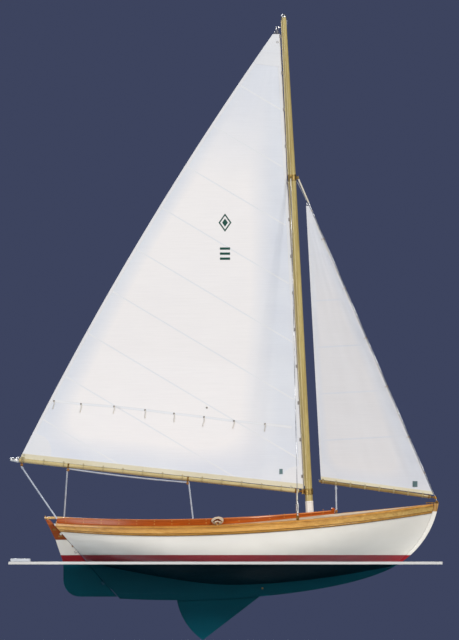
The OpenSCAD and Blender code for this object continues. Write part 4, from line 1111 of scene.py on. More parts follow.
s = Shape()
cosr = cos(radians(MAST_RAKE))
MAST_AXIS = V(-sin(radians(MAST_RAKE)), 0, cosr)
heel = mast_at(PLATE_HALF + 0.2)
heights = [20 + 30 * i for i in range(13)] + [HOUNDS_Z + 33 * i for i in range(6)]
prof = [(0, 0), (MAST_R, 0)] + [(mast_radius(z), (z - heel.z) / cosr) for z in heights]
prof += [(0, prof[-1][1])]
s.lathe(heel, MAST_AXIS, prof, 44)
s.piece("mast_spar", "hull", "spar_wood", mast_wood, ("mast",))
RAIL_DEPTH = 0.8
s = Shape()
for w, t0, t1, mat in ((2.5, -0.25, 0.62, 0), (1.2, 0.5, RAIL_DEPTH, 1)):
    section = (t0, -w / 2), (t1, -w / 2 * 0.8), (t1, w / 2 * 0.8), (t0, w / 2)
    s.loft([[V(mast_at(z).x - mast_radius(z) - d, y, z) for d, y in section]
            for z in (lerp(GOOSENECK_Z + 6, MAST_TOP_Z - 3, k) for k in steps(40))], mat)
s.piece("sail_track", "hull", "bronze", [mast_wood, brass_dull])
s = Shape()
s.lathe(mast_at(MAST_TOP_Z + 0.05), MAST_AXIS,
        [(0, 0), (2.6, 0), (3.1, 0.3), (3.1, 1.4), (2.8, 1.9), (2.3, 2.1), (2.2, 2.4), (2.0, 2.9),
         (1.3, 3.4), (0, 3.6)], 32)
s.piece("mast_truck", "hull", "bright_metal", nickel, ("mast_cap",))
s = Shape()
foot_z = deck_top_z(MAST_X - 3, 0) + 0.5
boot = (0.06, 0), (0.7, 0), (0.45, 1.6), (0.3, 5), (0.26, 12.6), (0.34, 14.2), (0.2, 14.8), (0.06, 14.8)
s.lathe(mast_at(foot_z), MAST_AXIS, [(MAST_R + r, h) for r, h in boot], 36)
for d in (1.8, 13.6):
    s.ring(mast_at(foot_z + d), MAST_AXIS, MAST_R + 0.42, 0.2, 1, 36)
s.piece("mast_boot", "hull", "white_paint", [white_paint, thread], ("mast_coat",))

# Rudder and centreboard

from_node("rudder_blade", "rudder_plank", "rudder", "bottom_paint", hull_paint, 0.5)
from_node("rudder_head", "rudder_cheeks", "rudder", "brown_varnish", bench_wood, 0.4)
from_node("pintle_rod", "pintle_pin", "rudder", "bronze", pin_paint, 0.15)
root = axis_at(TILLER_Z) - V(2.4, 0, 0)
ctrl = [root, root + V(TILLER_LEN * 0.3, 0, 2.6), root + V(TILLER_LEN * 0.7, 0, -4.6),
        root + V(TILLER_LEN, 0, -2.6)]
TILLER_R, TILLER_END_R = 1.38, 0.8


def tiller_radius(t):
    if t < 0.06:
        return TILLER_R * min(1, 0.55 + 9 * t)
    return lerp(TILLER_R, TILLER_END_R, t) + 0.28 * smooth(0.8, 0.9, t) - 0.75 * smooth(0.985, 1.0, t)


s = Shape()
s.tube([bezier(ctrl, t) for t in steps(60)], tiller_radius, 18)
for t in (0.775, 0.79, 0.805):
    p = bezier(ctrl, t)
    s.ring(p, bezier(ctrl, t + 0.01) - p, lerp(TILLER_R, TILLER_END_R, t) + 0.05, 0.16, 1, 20)
s.piece("tiller_bar", "rudder", "golden_varnish", [tiller_wood, cotton], ("tiller",))
s = Shape()
for z in (27.5, 34.5):
    c = axis_at(z)
    for side in (-1, 1):
        s.box((c.x - 4.4, side * 1.68, z - 0.9), (c.x - 0.4, side * 1.98, z + 0.9))
        for x in (-1.1, -3.5):
            s.lathe(V(c.x + x, side * 1.9, z), V(0, side, 0),
                    [(0.5, 0), (0.5, 0.1), (0.3, 0.3), (0, 0.34)], 10)
s.piece("head_straps", "rudder", "bronze", bronze, bevel=0.06)
from_node("centreboard", "centreboard_plate", "centreboard", "bottom_paint", green_paint, 0.45)

# Sails

STITCH_R, STITCH_STEP = 0.13, 1.9


class Sail:
    """A sail between a luff and a leech. p runs up the luff, q from the luff to the leech."""

    def __init__(self, tack, head, clew, head_aft, roach, seed):
        self.tack, self.head, self.clew, self.head_aft = tack, head, clew, head_aft
        self.roach, self.seed = roach, seed
        d = head_aft - clew
        self.out = V(-d.z, 0, d.x).normalized()

    def ends(self, p):
        l = lerp(self.tack, self.head, p)
        e = lerp(self.clew, self.head_aft, p) + self.roach * 4 * p * (1 - p) * self.out
        return l, e

    def flat(self, p, q):
        l, e = self.ends(p)
        return lerp(l, e, q)

    def ripple(self, p, q):
        inside = smooth(0, 0.16, min(p, q * 1.3, 1 - q)) * smooth(0, 0.1, 1 - p)
        n = 0.7 * noise.noise(V(p * 4, q * 3, self.seed))
        n += 0.22 * noise.noise(V(p * 11, q * 8, self.seed + 4))
        foot = 0.4 * exp(-p / 0.1) * sin(34 * q + 3 * noise.noise(V(q * 6, p * 3, self.seed)))
        luff = 0.3 * exp(-q / 0.08) * sin(tau * 12 * p)
        return inside * (n + foot) + luff * smooth(0, 0.03, q) * smooth(0, 0.05, min(p, 1 - p))

    def at(self, p, q, side=0.0):
        l, e = self.ends(p)
        deep = CAMBER * (e - l).length * min(1, 4 * max(p, 0))
        c = min(1, max(0, q))
        return lerp(l, e, q) + V(0, deep * 4 * c * (1 - c) + self.ripple(p, c) + side, 0)

    def where(self, x, z):
        """p and q of a point of the sail seen from the side."""
        a, b = -0.05, 1.05
        for _ in range(40):
            p = (a + b) / 2
            l, e = self.ends(p)
            if (e.x - l.x) * (z - l.z) - (e.z - l.z) * (x - l.x) > 0:
                b = p
            else:
                a = p
        return p, (x - l.x) / (e.x - l.x)

    def on(self, x, z, side=0.0):
        return self.at(*self.where(x, z), side)

    def length(self, q):
        path = [self.flat(p, q) for p in steps(20)]
        return sum((a - b).length for a, b in zip(path, path[1:]))

    def area(self):
        total = 0
        rows = [self.ends(p) for p in steps(40)]
        for (a, b), (c, d) in zip(rows, rows[1:]):
            total += ((b - a).cross(d - a).length + (d - a).cross(c - a).length) / 2
        return total

    def sheet(self, rows, cols):
        s = Shape()
        s.grid([[self.at(p, q) for q in steps(cols)] for p in steps(rows)])
        return s

    def patch(self, s, rows, lift, mat=0):
        """A flat piece sewn on both sides of the cloth; rows are lists of p and q."""
        half = CLOTH_T / 2 + lift
        s.loft([[self.at(p, q, -half) for p, q in row] + [self.at(p, q, half) for p, q in reversed(row)]
                for row in rows], mat)

    def tape(self, s, path, w, lift, mat=0):
        """A tape along a path of x and z."""
        rows = []
        for i, (x, z) in enumerate(path):
            a, b = path[max(i - 1, 0)], path[min(i + 1, len(path) - 1)]
            d = Vector((b[0] - a[0], b[1] - a[1])).normalized()
            rows.append([self.where(x + k * w / 2 * d.y, z - k * w / 2 * d.x) for k in (-1, 0, 1)])
        self.patch(s, rows, lift, mat)

    def stitch(self, s, path, lift):
        """Single stitches along a path of x and z."""
        left = STITCH_STEP / 2
        for (x0, z0), (x1, z1) in zip(path, path[1:]):
            d = Vector((x1 - x0, z1 - z0))
            n = d.length
            if n == 0:
                continue
            d /= n
            while left < n:
                x, z = x0 + d.x * left, z0 + d.y * left
                h = V(0, CLOTH_T / 2 + lift, 0)
                o = V(-d.y, 0, d.x) * STITCH_R
                ends = [self.on(x + k * d.x, z + k * d.y) for k in (-0.5, 0.5)]
                s.loft([[c - o - h, c + o - h, c + o + h, c - o + h] for c in ends], 1)
                left += STITCH_STEP
            left -= n

    def edge(self, q, inset):
        """A path of x and z beside the luff or the leech."""
        out = []
        for p in steps(60):
            l, e = self.ends(p)
            k = inset / max((e - l).length, inset * 1.01)
            f = self.flat(p, k if q == 0 else 1 - k)
            out.append((f.x, f.z))
        return out

    def foot(self, inset):
        k = inset / self.length(0.5)
        return [(f.x, f.z) for f in (self.flat(k, q) for q in steps(50))]

    def seams(self, gap, first):
        """Cloth joins that start square to the leech and run to the luff or the foot."""
        d = (self.head_aft - self.clew).normalized()
        run = V(d.z, 0, -d.x)
        lines = []
        total = self.length(1)
        k = first
        while k < total - 18:
            x, z = self.flat(k / total, 1).x, self.flat(k / total, 1).z
            line = [(x, z)]
            while True:
                x, z = x + 5 * run.x, z + 5 * run.z
                p, q = self.where(x, z)
                if not (0.004 < p < 0.999 and 0.004 < q < 1):
                    break
                line.append((x, z))
            if len(line) > 3:
                lines.append(line)
            k += gap
        return lines


def px(x, y):
    """A point of the side view, in millimetres, from its place in the picture."""
    return (x - ORIGIN_PX[0]) * PIXEL_MM, (ORIGIN_PX[1] - y) * PIXEL_MM


# Heights above the cloth, for tapes and patches and for the thread on them
SEAM_LIFT, SEAM_THREAD = 0.05, 0.1
HEM_LIFT, HEM_THREAD = 0.09, 0.13
FOOT_LIFT, FOOT_THREAD = 0.26, 0.3
PATCH_LIFTS = 0.14, 0.2
MARK_LIFT, TACK_LIFT = 0.16, 0.28
STITCH_INSET = 0.6
FOOT_GAP = 0.4
main_tack = BOOM_FORE + 2 * BOOM_DIR + (BOOM_R + FOOT_GAP) * BOOM_UP
main_tack.x = hinge_at(main_tack.z).x + 0.3
main_clew = BOOM_AFT - CLEW_BACK * BOOM_DIR + (BOOM_R + FOOT_GAP) * BOOM_UP
main_head = hinge_at(MAIN_HEAD_Z) + V(-0.9, 0, 0)
main = Sail(main_tack, main_head, main_clew, main_head - V(MAIN_HEAD_W, 0, 0), MAIN_ROACH, 3.1)
LUFF_SET = 0.9
jib_tack = JIB_FORE + 3 * JIB_DIR + (JIB_BOOM_R + FOOT_GAP) * JIB_UP
jib_tack.x = stay_at(jib_tack.z).x - LUFF_SET
jib_clew = JIB_FORE + (JIB_LEN - 2) * JIB_DIR + (JIB_BOOM_R + FOOT_GAP) * JIB_UP
jib_head = stay_at(JIB_HEAD_Z) - V(LUFF_SET, 0, 0)
jib = Sail(jib_tack, jib_head, jib_clew, jib_head - V(3, 0, 0), 0, 8.7)


def sail_piece(sail, name, body, node, rows, cols, mat):
    s = sail.sheet(rows, cols)
    ob = s.piece(name, body, "sailcloth", mat, (node,), 0)
    # The inside attribute carries painted light: the middle of the sail lighter and warmer, its edges cooler
    # as shade
    lit_centre_attr = ob.data.attributes.new("inside", "FLOAT", "POINT")
    lit_centre_attr.data.foreach_set("value", [
        smooth(0.04, 0.42, q) * smooth(0, 0.2, 1 - q) * smooth(0, 0.12, p) * smooth(1.0, 0.35, p)
        for p in steps(rows) for q in steps(cols)])
    mod = ob.modifiers.new("cloth", "SOLIDIFY")
    mod.thickness = CLOTH_T * MM
    mod.offset = 0
    return ob


def corner(sail, s, q, size, lift):
    """A layered patch at the tack or the clew."""
    l, e = sail.ends(0)
    up, across = size / sail.length(q), size / (e - l).length
    rows = []
    for t in steps(8):
        w = across * sqrt(max(0.0, 1 - t * t)) if t < 1 else across * 0.02
        rows.append([(up * t * 0.98, k * w if q == 0 else 1 - k * w) for k in steps(6)])
    sail.patch(s, rows, lift)


def trim_sail(sail, name, body, seams, leech, luff, foot, patches, head, tape, seam):
    """Hems, cloth joins, corner patches and their stitching."""
    s = Shape()
    for line in seams:
        sail.tape(s, line, 1.5, SEAM_LIFT, 3)
        sail.stitch(s, line, SEAM_THREAD)
    for q, w in ((1, leech), (0, luff)):
        rows = []
        for p in (lerp(-0.001, 0.999, k) for k in steps(90)):
            a, b = sail.ends(p)
            k = w / max((b - a).length, 1.4 * w)
            rows.append([(p, 1 + 0.02 * k - 1.02 * k * j / 3) if q else (p, 1.02 * k * j / 3 - 0.02 * k)
                         for j in range(4)])
        sail.patch(s, rows, HEM_LIFT)
        for inset in (w - STITCH_INSET, 0.7):
            sail.stitch(s, sail.edge(q, inset), HEM_THREAD)
    k = foot / sail.length(0.5)
    sail.patch(s, [[(lerp(-0.0008, k, j), q) for j in steps(3)] for q in steps(80)], FOOT_LIFT, 2)
    sail.stitch(s, sail.foot(foot - STITCH_INSET), FOOT_THREAD)
    for q, size in patches:
        for share, lift in zip((1, 0.66), PATCH_LIFTS):
            corner(sail, s, q, size * share, lift)
    for share, lift in zip((1, 0.6), PATCH_LIFTS):
        k = head * share / sail.length(0)
        sail.patch(s, [[(lerp(1 - k, 0.9995, j), q) for q in steps(4)] for j in steps(8)], lift)
    return s.piece(name, body, "sailcloth", [tape, thread, foot_tape, seam])


def eyelets(sail, spots, name, body, r=0.75):
    s = Shape()
    for x, z in spots:
        for side in (-1, 1):
            c = sail.on(x, z, side * (CLOTH_T / 2 + 0.12))
            s.ring(c, PORT, r, 0.26, 0, 18, 8)
            # A grey disc inside each eyelet, which is painted shade in the hole
            s.lathe(c - V(0, side * 0.12, 0), V(0, side, 0), [(r, 0), (r, 0.1), (0, 0.12)], 14, 1)
    return s.piece(name, body, "bronze", [brass_dull, hole_shade])


def applique(sail, s, rows, lift):
    sail.patch(s, [[sail.where(x, z) for x, z in row] for row in rows], lift)


def plain_patch(sail, s, spot, w, h, lift, cols):
    """A rectangle of half sizes w and h."""
    xs = [lerp(-w, w, k) for k in steps(cols - 1)]
    applique(sail, s, [[(spot[0] + x, spot[1] + z) for x in xs] for z in (-h, 0, h)], lift)


main_cloth = sail_piece(main, "mainsail_cloth", "main_boom", "mainsail", 130, 84, sail_cloth)
main_trim = trim_sail(main, "mainsail_hems", "main_boom", main.seams(50, 46), 3.4, 3.0, 4.6,
                      ((0, 24), (1, 30)), 34, sail_tape, seam_tape)
jib_cloth = sail_piece(jib, "jib_cloth", "jib_boom", "jib", 100, 48, shaded_jib_canvas)
jib_trim = trim_sail(jib, "jib_hems", "jib_boom", jib.seams(48, 40), 2.4, 2.4, 3.2,
                     ((0, 18), (1, 18)), 20, shaded_jib_tape, shaded_jib_canvas)

REEF = [px(*p) for p in ((54, 401), (81, 404), (114, 406.5), (145, 410), (174, 413.5), (204, 417), (234, 421),
                         (265, 424))]
s = Shape()
marks = [px(51.5, 400.5)] + REEF + [px(297, 428)]
reef_line = [(lerp(a[0], b[0], k), lerp(a[1], b[1], k))
             for a, b in zip(marks, marks[1:]) for k in steps(6)[:-1]]
main.tape(s, reef_line[1:], 2.6, SEAM_LIFT)
for off in (-1.0, 1.0):
    main.stitch(s, [(x, z + off) for x, z in reef_line[1:]], SEAM_THREAD)
reef_tape = s.piece("reef_band", "main_boom", "sailcloth", [seam_tape, thread])
main_eyes = eyelets(main, REEF + [px(206.8, 407.6)], "reef_eyelets", "main_boom")
corner_eyes = eyelets(main, [px(24, 455), px(291, 487), px(277.6, 42)], "corner_eyelets", "main_boom", 1.0)
s = Shape()
for x, z in REEF:
    for side in (-1, 1):
        off = side * (CLOTH_T / 2 + 0.5)
        drop = 6.5 + 2.5 * rng.random()
        lean = 1.6 * (rng.random() - 0.5)
        path = [main.on(x, z, off * 0.4)]
        for t in steps(5)[1:]:
            path.append(main.on(x + lean * t * t + 0.5 * sin(5 * t), z - drop * t,
                                off + side * 0.25 * sin(3 * t)))
        lay_rope(s, path, 0.3, sides=5, step=0.7)
        s.lathe(path[-1] + V(0, 0, 0.5), V(0, 0, -1), [(0.1, 0), (0.42, 0.3), (0.42, 0.9), (0.2, 1.2)], 8)
reef_ties = s.piece("reef_points", "main_boom", "sailcloth", cotton)

# A plain lozenge over three bars, and a plain patch at each tack

s = Shape()
cx, cz = px(225, 222.5)
w, h = 6.6, 9.4
for sx in (-1, 1):
    for sz in (-1, 1):
        applique(main, s, [[(cx + sx * w * (1 - t) * f, cz + sz * h * t * f) for f in (0.76, 0.88, 1.0)]
                           for t in (0, 0.25, 0.5, 0.75, 1.0)], MARK_LIFT)
w, h = 2.9, 4.3
applique(main, s, [[(cx + f * w * (1 - abs(t)), cz + h * t) for f in (-1, -0.5, 0, 0.5, 1)]
                   for t in (-0.98, -0.5, 0, 0.5, 0.98)], MARK_LIFT)
cx, cz = px(225, 253.5)
for dz in (-5.2, 0.0, 5.2):
    plain_patch(main, s, (cx, cz + dz), 5.2, 1.2, MARK_LIFT, 5)
main_mark = s.piece("sail_device", "main_boom", "sailcloth", green_cloth)
s = Shape()
plain_patch(main, s, px(281, 471.5), 1.7, 2.7, TACK_LIFT, 3)
main_patch = s.piece("main_tack_patch", "main_boom", "sailcloth", dark_cloth)
s = Shape()
plain_patch(jib, s, px(415, 484), 2.5, 3.0, TACK_LIFT, 3)
jib_patch = s.piece("jib_tack_patch", "jib_boom", "sailcloth", dark_cloth)


def bolt_rope(name, body, *runs):
    s = Shape()
    for path, r in runs:
        lay_rope(s, path, r, step=0.8)
    return s.piece(name, body, "sailcloth", cotton)


# The luff rope lies as near the rail as the swing allows, and bows aft past the hounds strap.
luff_path = []
for p in (main.at(k, 0) for k in steps(40)):
    rail_x = mast_at(p.z).x - mast_radius(p.z) - RAIL_DEPTH
    bow = 0.55 * exp(-((p.z - HOUNDS_Z + 2) / 22) ** 2)
    luff_path.append(V(min(rail_x - 0.6, p.x + 0.36) - bow, p.y, p.z))
main_rope = bolt_rope("main_luff_rope", "main_boom", (luff_path, 0.46))
main_foot_rope = bolt_rope("main_foot_rope", "main_boom",
                           ([main.at(0, q) + V(0, 0, 0.2) for q in steps(10)], 0.62))
jib_rope = bolt_rope("jib_bolt_rope", "jib_boom",
                     ([jib.at(p, 0) + V(-0.45, 0, 0.1) for p in steps(12)], 0.45),
                     ([jib.at(0, q) + V(0, 0, 0.2) for q in steps(8)], 0.5))

main.length(0) * MM
main.area() * MM * MM
jib.length(0) * MM
jib.area() * MM * MM

# Spars of the sails and their fittings

def round_spar(name, body, fore, d, length, r, taper, node, mat):
    """A spar that is tapered at its after end."""
    s = Shape()
    prof = [(0, 0), (r * 0.8, 0.02), (r, 0.5)]
    prof += [(r, lerp(0.5, length - taper, t)) for t in (0.25, 0.5, 0.75, 1.0)]
    prof += [(lerp(r, r * 0.6, t * t), length - taper + taper * t) for t in (0.3, 0.6, 0.85)]
    prof += [(r * 0.56, length - 0.1), (0, length)]
    s.lathe(fore, d, prof, 36)
    s.piece(name, body, "spar_wood", mat, (node,))


round_spar("boom_spar", "main_boom", BOOM_FORE, BOOM_DIR, BOOM_LEN, BOOM_R, 8, "boom", boom_wood)
round_spar("jib_club", "jib_boom", JIB_FORE, JIB_DIR, JIB_LEN, JIB_BOOM_R, 5, "jib_boom", shaded_club_wood)
for node, name, body, mat in (("boom_jaw", "gooseneck_eye", "main_boom", bronze),
                              ("headboard", "head_plate", "main_boom", nickel),
                              ("sail_slides", "luff_slides", "main_boom", brass_dull),
                              ("jib_tack_ring", "tack_ring", "jib_boom", bronze)):
    from_node(node, name, body, "bright_metal" if node == "headboard" else "bronze", mat, 0.12)
s = Shape()
for z in (92, 129, 181, 231, 282, 333, 362):
    c = stay_at(z) + STAY_DIR
    for k in (-0.5, 0.5):
        s.ring(c + k * STAY_DIR, STAY_DIR, 0.62, 0.2, 0, 16)
    s.tube([c + V(-0.5, 0, 0), c + V(-1.6, 0, -0.2), c + V(-2.6, 0, -0.5)], 0.42, 10)
    for k in (-0.5, 0, 0.5):
        s.ring(c + V(-2.2, 0, -0.4 + k), UP, 0.62, 0.14, 1, 12, 6)
s.piece("hank_rings", "jib_boom", "bronze", [bronze, thread], ("jib_hanks",))


def collar(s, c, d, r, w):
    """A band of width w round a spar of radius r."""
    r -= 0.02
    s.lathe(c - d * w / 2, d, [(r, 0), (r + 0.3, 0.08), (r + 0.3, w - 0.08), (r, w)], 32)


s = Shape()
collar(s, BOOM_FORE + 3.0 * BOOM_DIR, BOOM_DIR, BOOM_R, 2.4)
for t in BOOM_BLOCKS:
    collar(s, BOOM_FORE + t * BOOM_DIR, BOOM_DIR, BOOM_R, 1.6)
s.piece("boom_bands", "main_boom", "bronze", bronze)
s = Shape()
end = BOOM_FORE + (BOOM_LEN - 9) * BOOM_DIR
s.lathe(end, BOOM_DIR, [(BOOM_R, 0), (BOOM_R + 0.3, 0.1), (BOOM_R + 0.28, 2.2), (BOOM_R + 0.02, 2.6),
                        (BOOM_R * 0.93, 5.0), (BOOM_R * 0.82, 7.2), (BOOM_R * 0.72, 8.6),
                        (BOOM_R * 0.5, 9.2), (0, 9.3)], 32)
s.ring(end + 1.2 * BOOM_DIR + (BOOM_R + 0.75) * BOOM_UP, PORT, 0.75, 0.24, 0, 18)
s.piece("boom_ferrule", "main_boom", "bright_metal", nickel)
s = Shape()
for t in (2.0, JIB_LEN - 3.4):
    collar(s, JIB_FORE + t * JIB_DIR, JIB_DIR, JIB_BOOM_R, 1.6)
s.piece("club_bands", "jib_boom", "bronze", bronze)


def lashing(s, fore, d, up, r, where, turns, foot_r):
    """Turns of line round a spar and the bolt rope above it."""
    for t in where:
        for k in range(turns):
            c = fore + (t + 0.55 * k) * d
            path = []
            for i in range(25):
                a = tau * i / 24
                h = cos(a)
                lift = (r + 0.2) * h + (foot_r * 2 + 0.5 if h > 0 else 0) * max(0, h)
                narrow = 1 if h < 0.2 else 1 - 0.45 * h
                path.append(c + lift * up + (r + 0.25) * sin(a) * PORT * narrow + 0.3 * d * i / 24)
            s.tube(path, 0.2, 6)


s = Shape()
for where, turns, foot_r in (([18 + 20.5 * i for i in range(14)], 2, 0.6), ([BOOM_LEN - 13.5], 5, 0.7)):
    lashing(s, BOOM_FORE, BOOM_DIR, BOOM_UP, BOOM_R, where, turns, foot_r)
s.piece("foot_lacing", "main_boom", "sailcloth", marline)
s = Shape()
lashing(s, JIB_FORE, JIB_DIR, JIB_UP, JIB_BOOM_R, [8 + 15 * i for i in range(7)] + [JIB_LEN - 5], 3, 0.5)
s.piece("club_lacing", "jib_boom", "sailcloth", marline)

# Blocks of the sheets: two cheeks, a grooved sheave, a strap and a pin

BLOCK_R, BLOCK_T = 1.5, 2.0


def pulley(s, seat, up):
    """A block that stands on its seat, or hangs from it where up is -1."""
    c = seat + V(0, 0, up * (BLOCK_R + 1))
    cheek = [(BLOCK_R * k, h)
             for k, h in ((0, 0), (0.97, 0), (1.03, 0.18), (0.9, 0.42), (0.5, 0.55), (0, 0.56))]
    for k in (-1, 1):
        s.lathe(c + k * 0.42 * PORT, k * PORT, cheek, 28, 1)
        s.lathe(c + k * 0.95 * PORT, k * PORT, [(0.42, 0), (0.42, 0.12), (0.25, 0.26), (0, 0.28)], 14)
    s.lathe(c - 0.4 * PORT, PORT,
            [(0, 0), (1.24, 0), (1.3, 0.08), (0.95, 0.4), (1.3, 0.72), (1.24, 0.8), (0, 0.8)], 28)
    for k in (-1, 1):
        s.box((c.x - 0.5, c.y + k * 0.5, seat.z + up * 0.1), (c.x + 0.5, c.y + k * 0.86, c.z))
    s.lathe(seat, V(0, 0, up), [(1.5, 0), (1.5, 0.28), (1.1, 0.5), (0.6, 0.6), (0.55, 0.9)], 20)
    return c


QUARTER_Y = COAMING_AFT_HALF - 9
s = Shape()
quarter = []
for x, y in ((COAMING_AFT_X + 1, -QUARTER_Y), (COAMING_AFT_X + 5.5, QUARTER_Y)):
    quarter.append(pulley(s, V(x, y, deck_seat(x, y, 0.8, BLOCK_T / 2)), 1))
s.piece("quarter_pulleys", "hull", "bronze", [bronze, block_wood], ("quarter_blocks",))
s = Shape()
lead = V(COAMING_TIP_X + 4, 0, deck_seat(COAMING_TIP_X + 4, 0, 0.8, BLOCK_T / 2))
jib_lead = pulley(s, lead, 1)
s.piece("jib_lead_pulley", "hull", "bronze", [bronze, block_wood], ("jib_sheet_block",))
s = Shape()
boom_wheels = []
for t in BOOM_BLOCKS:
    c = BOOM_FORE + t * BOOM_DIR - (BOOM_R + SEAM) * BOOM_UP
    boom_wheels.append(pulley(s, V(c.x, 0, c.z + 0.3), -1))
wheel_fore, wheel_mid, wheel_aft = boom_wheels
s.piece("boom_pulleys", "main_boom", "bronze", [bronze, block_wood], ("boom_blocks",))

# Running rigging

ROPE_R = 0.85


def running_rope(name, points, body, other=None, start=None, knots=()):
    s = Shape()
    lay_rope(s, points, ROPE_R)
    for c, d in knots:
        for k in range(4):
            s.ring(c + (k - 1.5) * 0.55 * d.normalized(), d, ROPE_R * 1.15, 0.3, 0, 14, 8)
    ob = s.piece(name, body, "sailcloth", sheet_rope, ride=other is None)
    if other:
        [c * MM for c in start]
        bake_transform(ob)


def line(a, b, n, sag=0.0):
    """A nearly straight rope: it sags a little between its ends."""
    return [lerp(a, b, t) - V(0, 0, sag * 4 * t * (1 - t)) for t in steps(n)]


sheet_eye = wheel_aft + V(-0.4, 0, -1.6)
lead = quarter[0] + V(-0.9, 0, 0.9)
running_rope("mainsheet_starboard", line(sheet_eye, lead, 10, 0.4), "hull", "main_boom", lead,
             knots=((lerp(sheet_eye, lead, 0.035), lead - sheet_eye),))
lead = quarter[1] + V(0.9, 0, 0.9)
top = wheel_mid + V(-0.9, 0, -0.9)
running_rope("mainsheet_port", line(top, lead, 10, 0.4), "hull", "main_boom", lead)
along = [wheel_mid + V(-1.1, 0, 0.2), wheel_mid + V(-0.2, 0, 1.2), wheel_mid + V(1.4, 0, 1.1)]
along += line(along[-1], wheel_fore + V(-1.3, 0, 0.9), 8, 1.1)[1:]
along += [wheel_fore + V(0.1, 0, 1.25), wheel_fore + V(1.05, 0, 0.6), wheel_fore + V(1.25, 0, -0.3)]
running_rope("mainsheet_boom", along, "main_boom")
top = wheel_fore + V(1.25, 0, -0.2)
foot = SHEET_CLEAT + V(0, 0, 4.6)
running_rope("mainsheet_fall", line(top, foot, 8, 0.3), "hull", "main_boom", foot)
s = Shape()
coil = []
for i in range(73):
    a = tau * i / 18
    coil.append(V(SHEET_CLEAT.x + 3.1 * sin(a), 1.25 * sin(2 * a),
                  SHEET_CLEAT.z + 2.3 + 0.012 * i + 0.5 * cos(2 * a)))
lay_rope(s, [foot] + coil, ROPE_R, step=0.5)
tail = [coil[-1], SHEET_CLEAT + V(-6, 1.5, 0.9), SHEET_CLEAT + V(-10, 1.0, 0.7)]
for i in range(29):
    a, r = tau * i / 14, lerp(2.2, 1.0, i / 28)
    tail.append(V(SHEET_CLEAT.x - 13 + r * cos(a), r * sin(a), SHEET_CLEAT.z + 0.7 + 0.6 * (i // 14)))
lay_rope(s, tail, ROPE_R, step=0.5)
s.piece("sheet_turns", "hull", "sailcloth", sheet_rope)

k = (JIB_FORE.x - jib_lead.x) / cos(radians(JIB_SLOPE))
jib_under = JIB_FORE + k * JIB_DIR - (JIB_BOOM_R + 0.5) * JIB_UP
a = jib_lead + V(0.2, 0, 1.5)
running_rope("jib_sheet", line(jib_under, a, 6), "hull", "jib_boom", a,
             knots=((lerp(jib_under, a, 0.12), UP),))
s = Shape()
collar(s, JIB_FORE + k * JIB_DIR, JIB_DIR, JIB_BOOM_R, 1.4)
s.ring(jib_under + V(0, 0, -0.1), PORT, 0.75, 0.22, 0, 16)
s.piece("jib_sheet_eye", "jib_boom", "bronze", bronze)
s = Shape()
lead_path = [jib_lead + V(0.6, 0, 1.2), jib_lead + V(-0.9, 0, 1.0), jib_lead + V(-1.4, 0.2, -0.4)]
for x, y in ((108, 4.0), (98, 12.5), (84, 20), (70, 27)):
    lead_path.append(V(x, y, deck_top_z(x, y) + ROPE_R + 0.4))
lay_rope(s, lead_path, ROPE_R, step=0.5)
s.piece("jib_sheet_lead", "hull", "sailcloth", sheet_rope)

# Halyards down the mast and their turns on the deck cleats

HALYARD_R, COIL_R = 0.42, 0.55


def down_mast(s, path, *runs):
    """A halyard down the mast. Each run gives its heights, and how far forward and off it lies."""
    path += [V(mast_at(z).x + fore, mast_radius(z) + off, z) for heights, fore, off in runs for z in heights]
    lay_rope(s, path, HALYARD_R, step=0.8)


s = Shape()
head_x = mast_at(MAST_TOP_Z - 2).x + mast_radius(MAST_TOP_Z) + 0.5
down_mast(s, [V(head_x, 1.2, MAST_TOP_Z - 3)],
          ((500, 430, 360, 290, 220, 150, 110, 82), -1.2, 0.55), ((66, 58), -1.6, 1.5))
down_mast(s, [stay_at(JIB_HEAD_Z + 6) + V(-1.2, 0.9, 0), V(STAY_HEAD.x - 1.2, 1.6, HOUNDS_Z - 4)],
          ((386, 350, 280, 210, 140, 90), 2.2, 0.75), ((68, 58), 1.0, 1.7))
s.piece("halyards", "hull", "sailcloth", sheet_rope)
coaming_face = coaming_point(0.53).y + COAMING_T / 2
s = Shape()
for side in (-1, 1):
    base = V(CLEAT_X, side * cleat_y, cleat_z)
    turns = []
    for i in range(61):
        a = tau * i / 20
        turns.append(base + V(3.0 * sin(a), 1.05 * sin(2 * a),
                              2.5 + 0.016 * i + 0.4 * cos(2 * a)))
    lay_rope(s, turns, COIL_R, step=0.45)
    hank = []
    for i in range(84):
        a = tau * i / 16
        high = 0.5 + 0.5 * cos(a)
        x = CLEAT_X + (5.6 - 0.28 * (i // 16)) * sin(a) + 0.4 * sin(0.9 * i)
        y = coaming_face + 0.8 + 1.7 * (1 - high) + 0.36 * i / 16
        hank.append(V(x, side * y, deck_top_z(x, y) + 0.7 + (7.0 - 0.25 * (i // 16)) * high))
    lay_rope(s, hank, COIL_R, step=0.5)
s.piece("halyard_coils", "hull", "sailcloth", coil_rope)

# Shackles at the head of each sail

def shackle(name, body, bow, r, thick, pin, pin_half, pin_r):
    """A bow with a pin across it."""
    s = Shape()
    s.ring(bow, PORT, r, thick, 0, 20)
    s.tube([pin - pin_half * PORT, pin + pin_half * PORT], pin_r, 12)
    s.piece(name, body, "bright_metal", nickel)


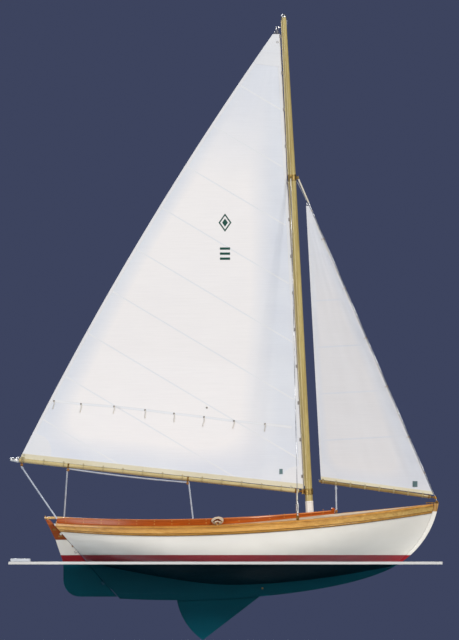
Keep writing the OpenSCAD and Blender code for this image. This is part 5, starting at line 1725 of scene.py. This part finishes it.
head_eye = main_head + V(-1.6, 0, 4.6)
shackle("head_shackle", "main_boom", head_eye + V(0, 0, 1.6), 1.5, 0.3, head_eye + V(-0.2, 0, 0), 1.3, 0.34)
shackle("jib_shackle", "jib_boom", jib_head + V(-1.2, 0, 2.2), 1.1, 0.24,
        jib_head + V(-1.3, 0, 1.0), 0.9, 0.28)

# Studio

floor = bpy.data.objects.new("floor", bpy.data.meshes.new("floor"))
rim = [(FLOOR_R * cos(a), FLOOR_R * sin(a), FLOOR_Z * MM) for a in circle(96)]
floor.data.from_pydata(rim, [], [list(range(len(rim)))])
floor.data.materials.append(floor_paint)
scene.collection.objects.link(floor)

world = bpy.data.worlds.new("studio")
scene.world = world
world.use_nodes = True
world.node_tree.nodes.clear()
g = Graph(world.node_tree)
up = g.node("SeparateXYZ", {0: g.node("TexCoord").outputs["Generated"]}).outputs["Z"]
level = g.node("MapRange", {"Value": up, "From Min": -0.35, "From Max": 0.6, "To Min": 0.025, "To Max": 0.6})
dim = g.node("Background", {0: (0.86, 0.93, 1.0, 1), 1: level.outputs["Result"]}).outputs[0]
shown = g.node("Background", {0: (*BACKDROP, 1), 1: 1.0}).outputs[0]
g.node("OutputWorld", {0: g.node("MixShader", {0: g.seen(), 1: dim, 2: shown}).outputs[0]})


def lamp(name, place, aim, watts, size, colour):
    data = bpy.data.lights.new(name, "AREA")
    data.energy = watts
    data.size = size
    data.color = colour
    ob = bpy.data.objects.new(name, data)
    ob.location = place
    ob.rotation_euler = (Vector(aim) - Vector(place)).to_track_quat("-Z", "Y").to_euler()
    ob.visible_transmission = False
    scene.collection.objects.link(ob)


lamp("key", (2.5, -3.0, 1.9), (0, 0, 0.22), 120, 0.9, (1.0, 0.97, 0.92))
lamp("fill", (-1.6, -1.9, 0.75), (-0.05, 0, 0.25), 13, 0.9, (0.97, 0.98, 1.0))
lamp("low", (-1.6, -2.1, 0.06), (0, 0, 0.0), 14, 0.8, (1.0, 0.94, 0.88))
lamp("back", (-0.9, 2.8, 1.9), (0, 0, 0.22), 78, 1.2, (0.95, 0.97, 1.0))
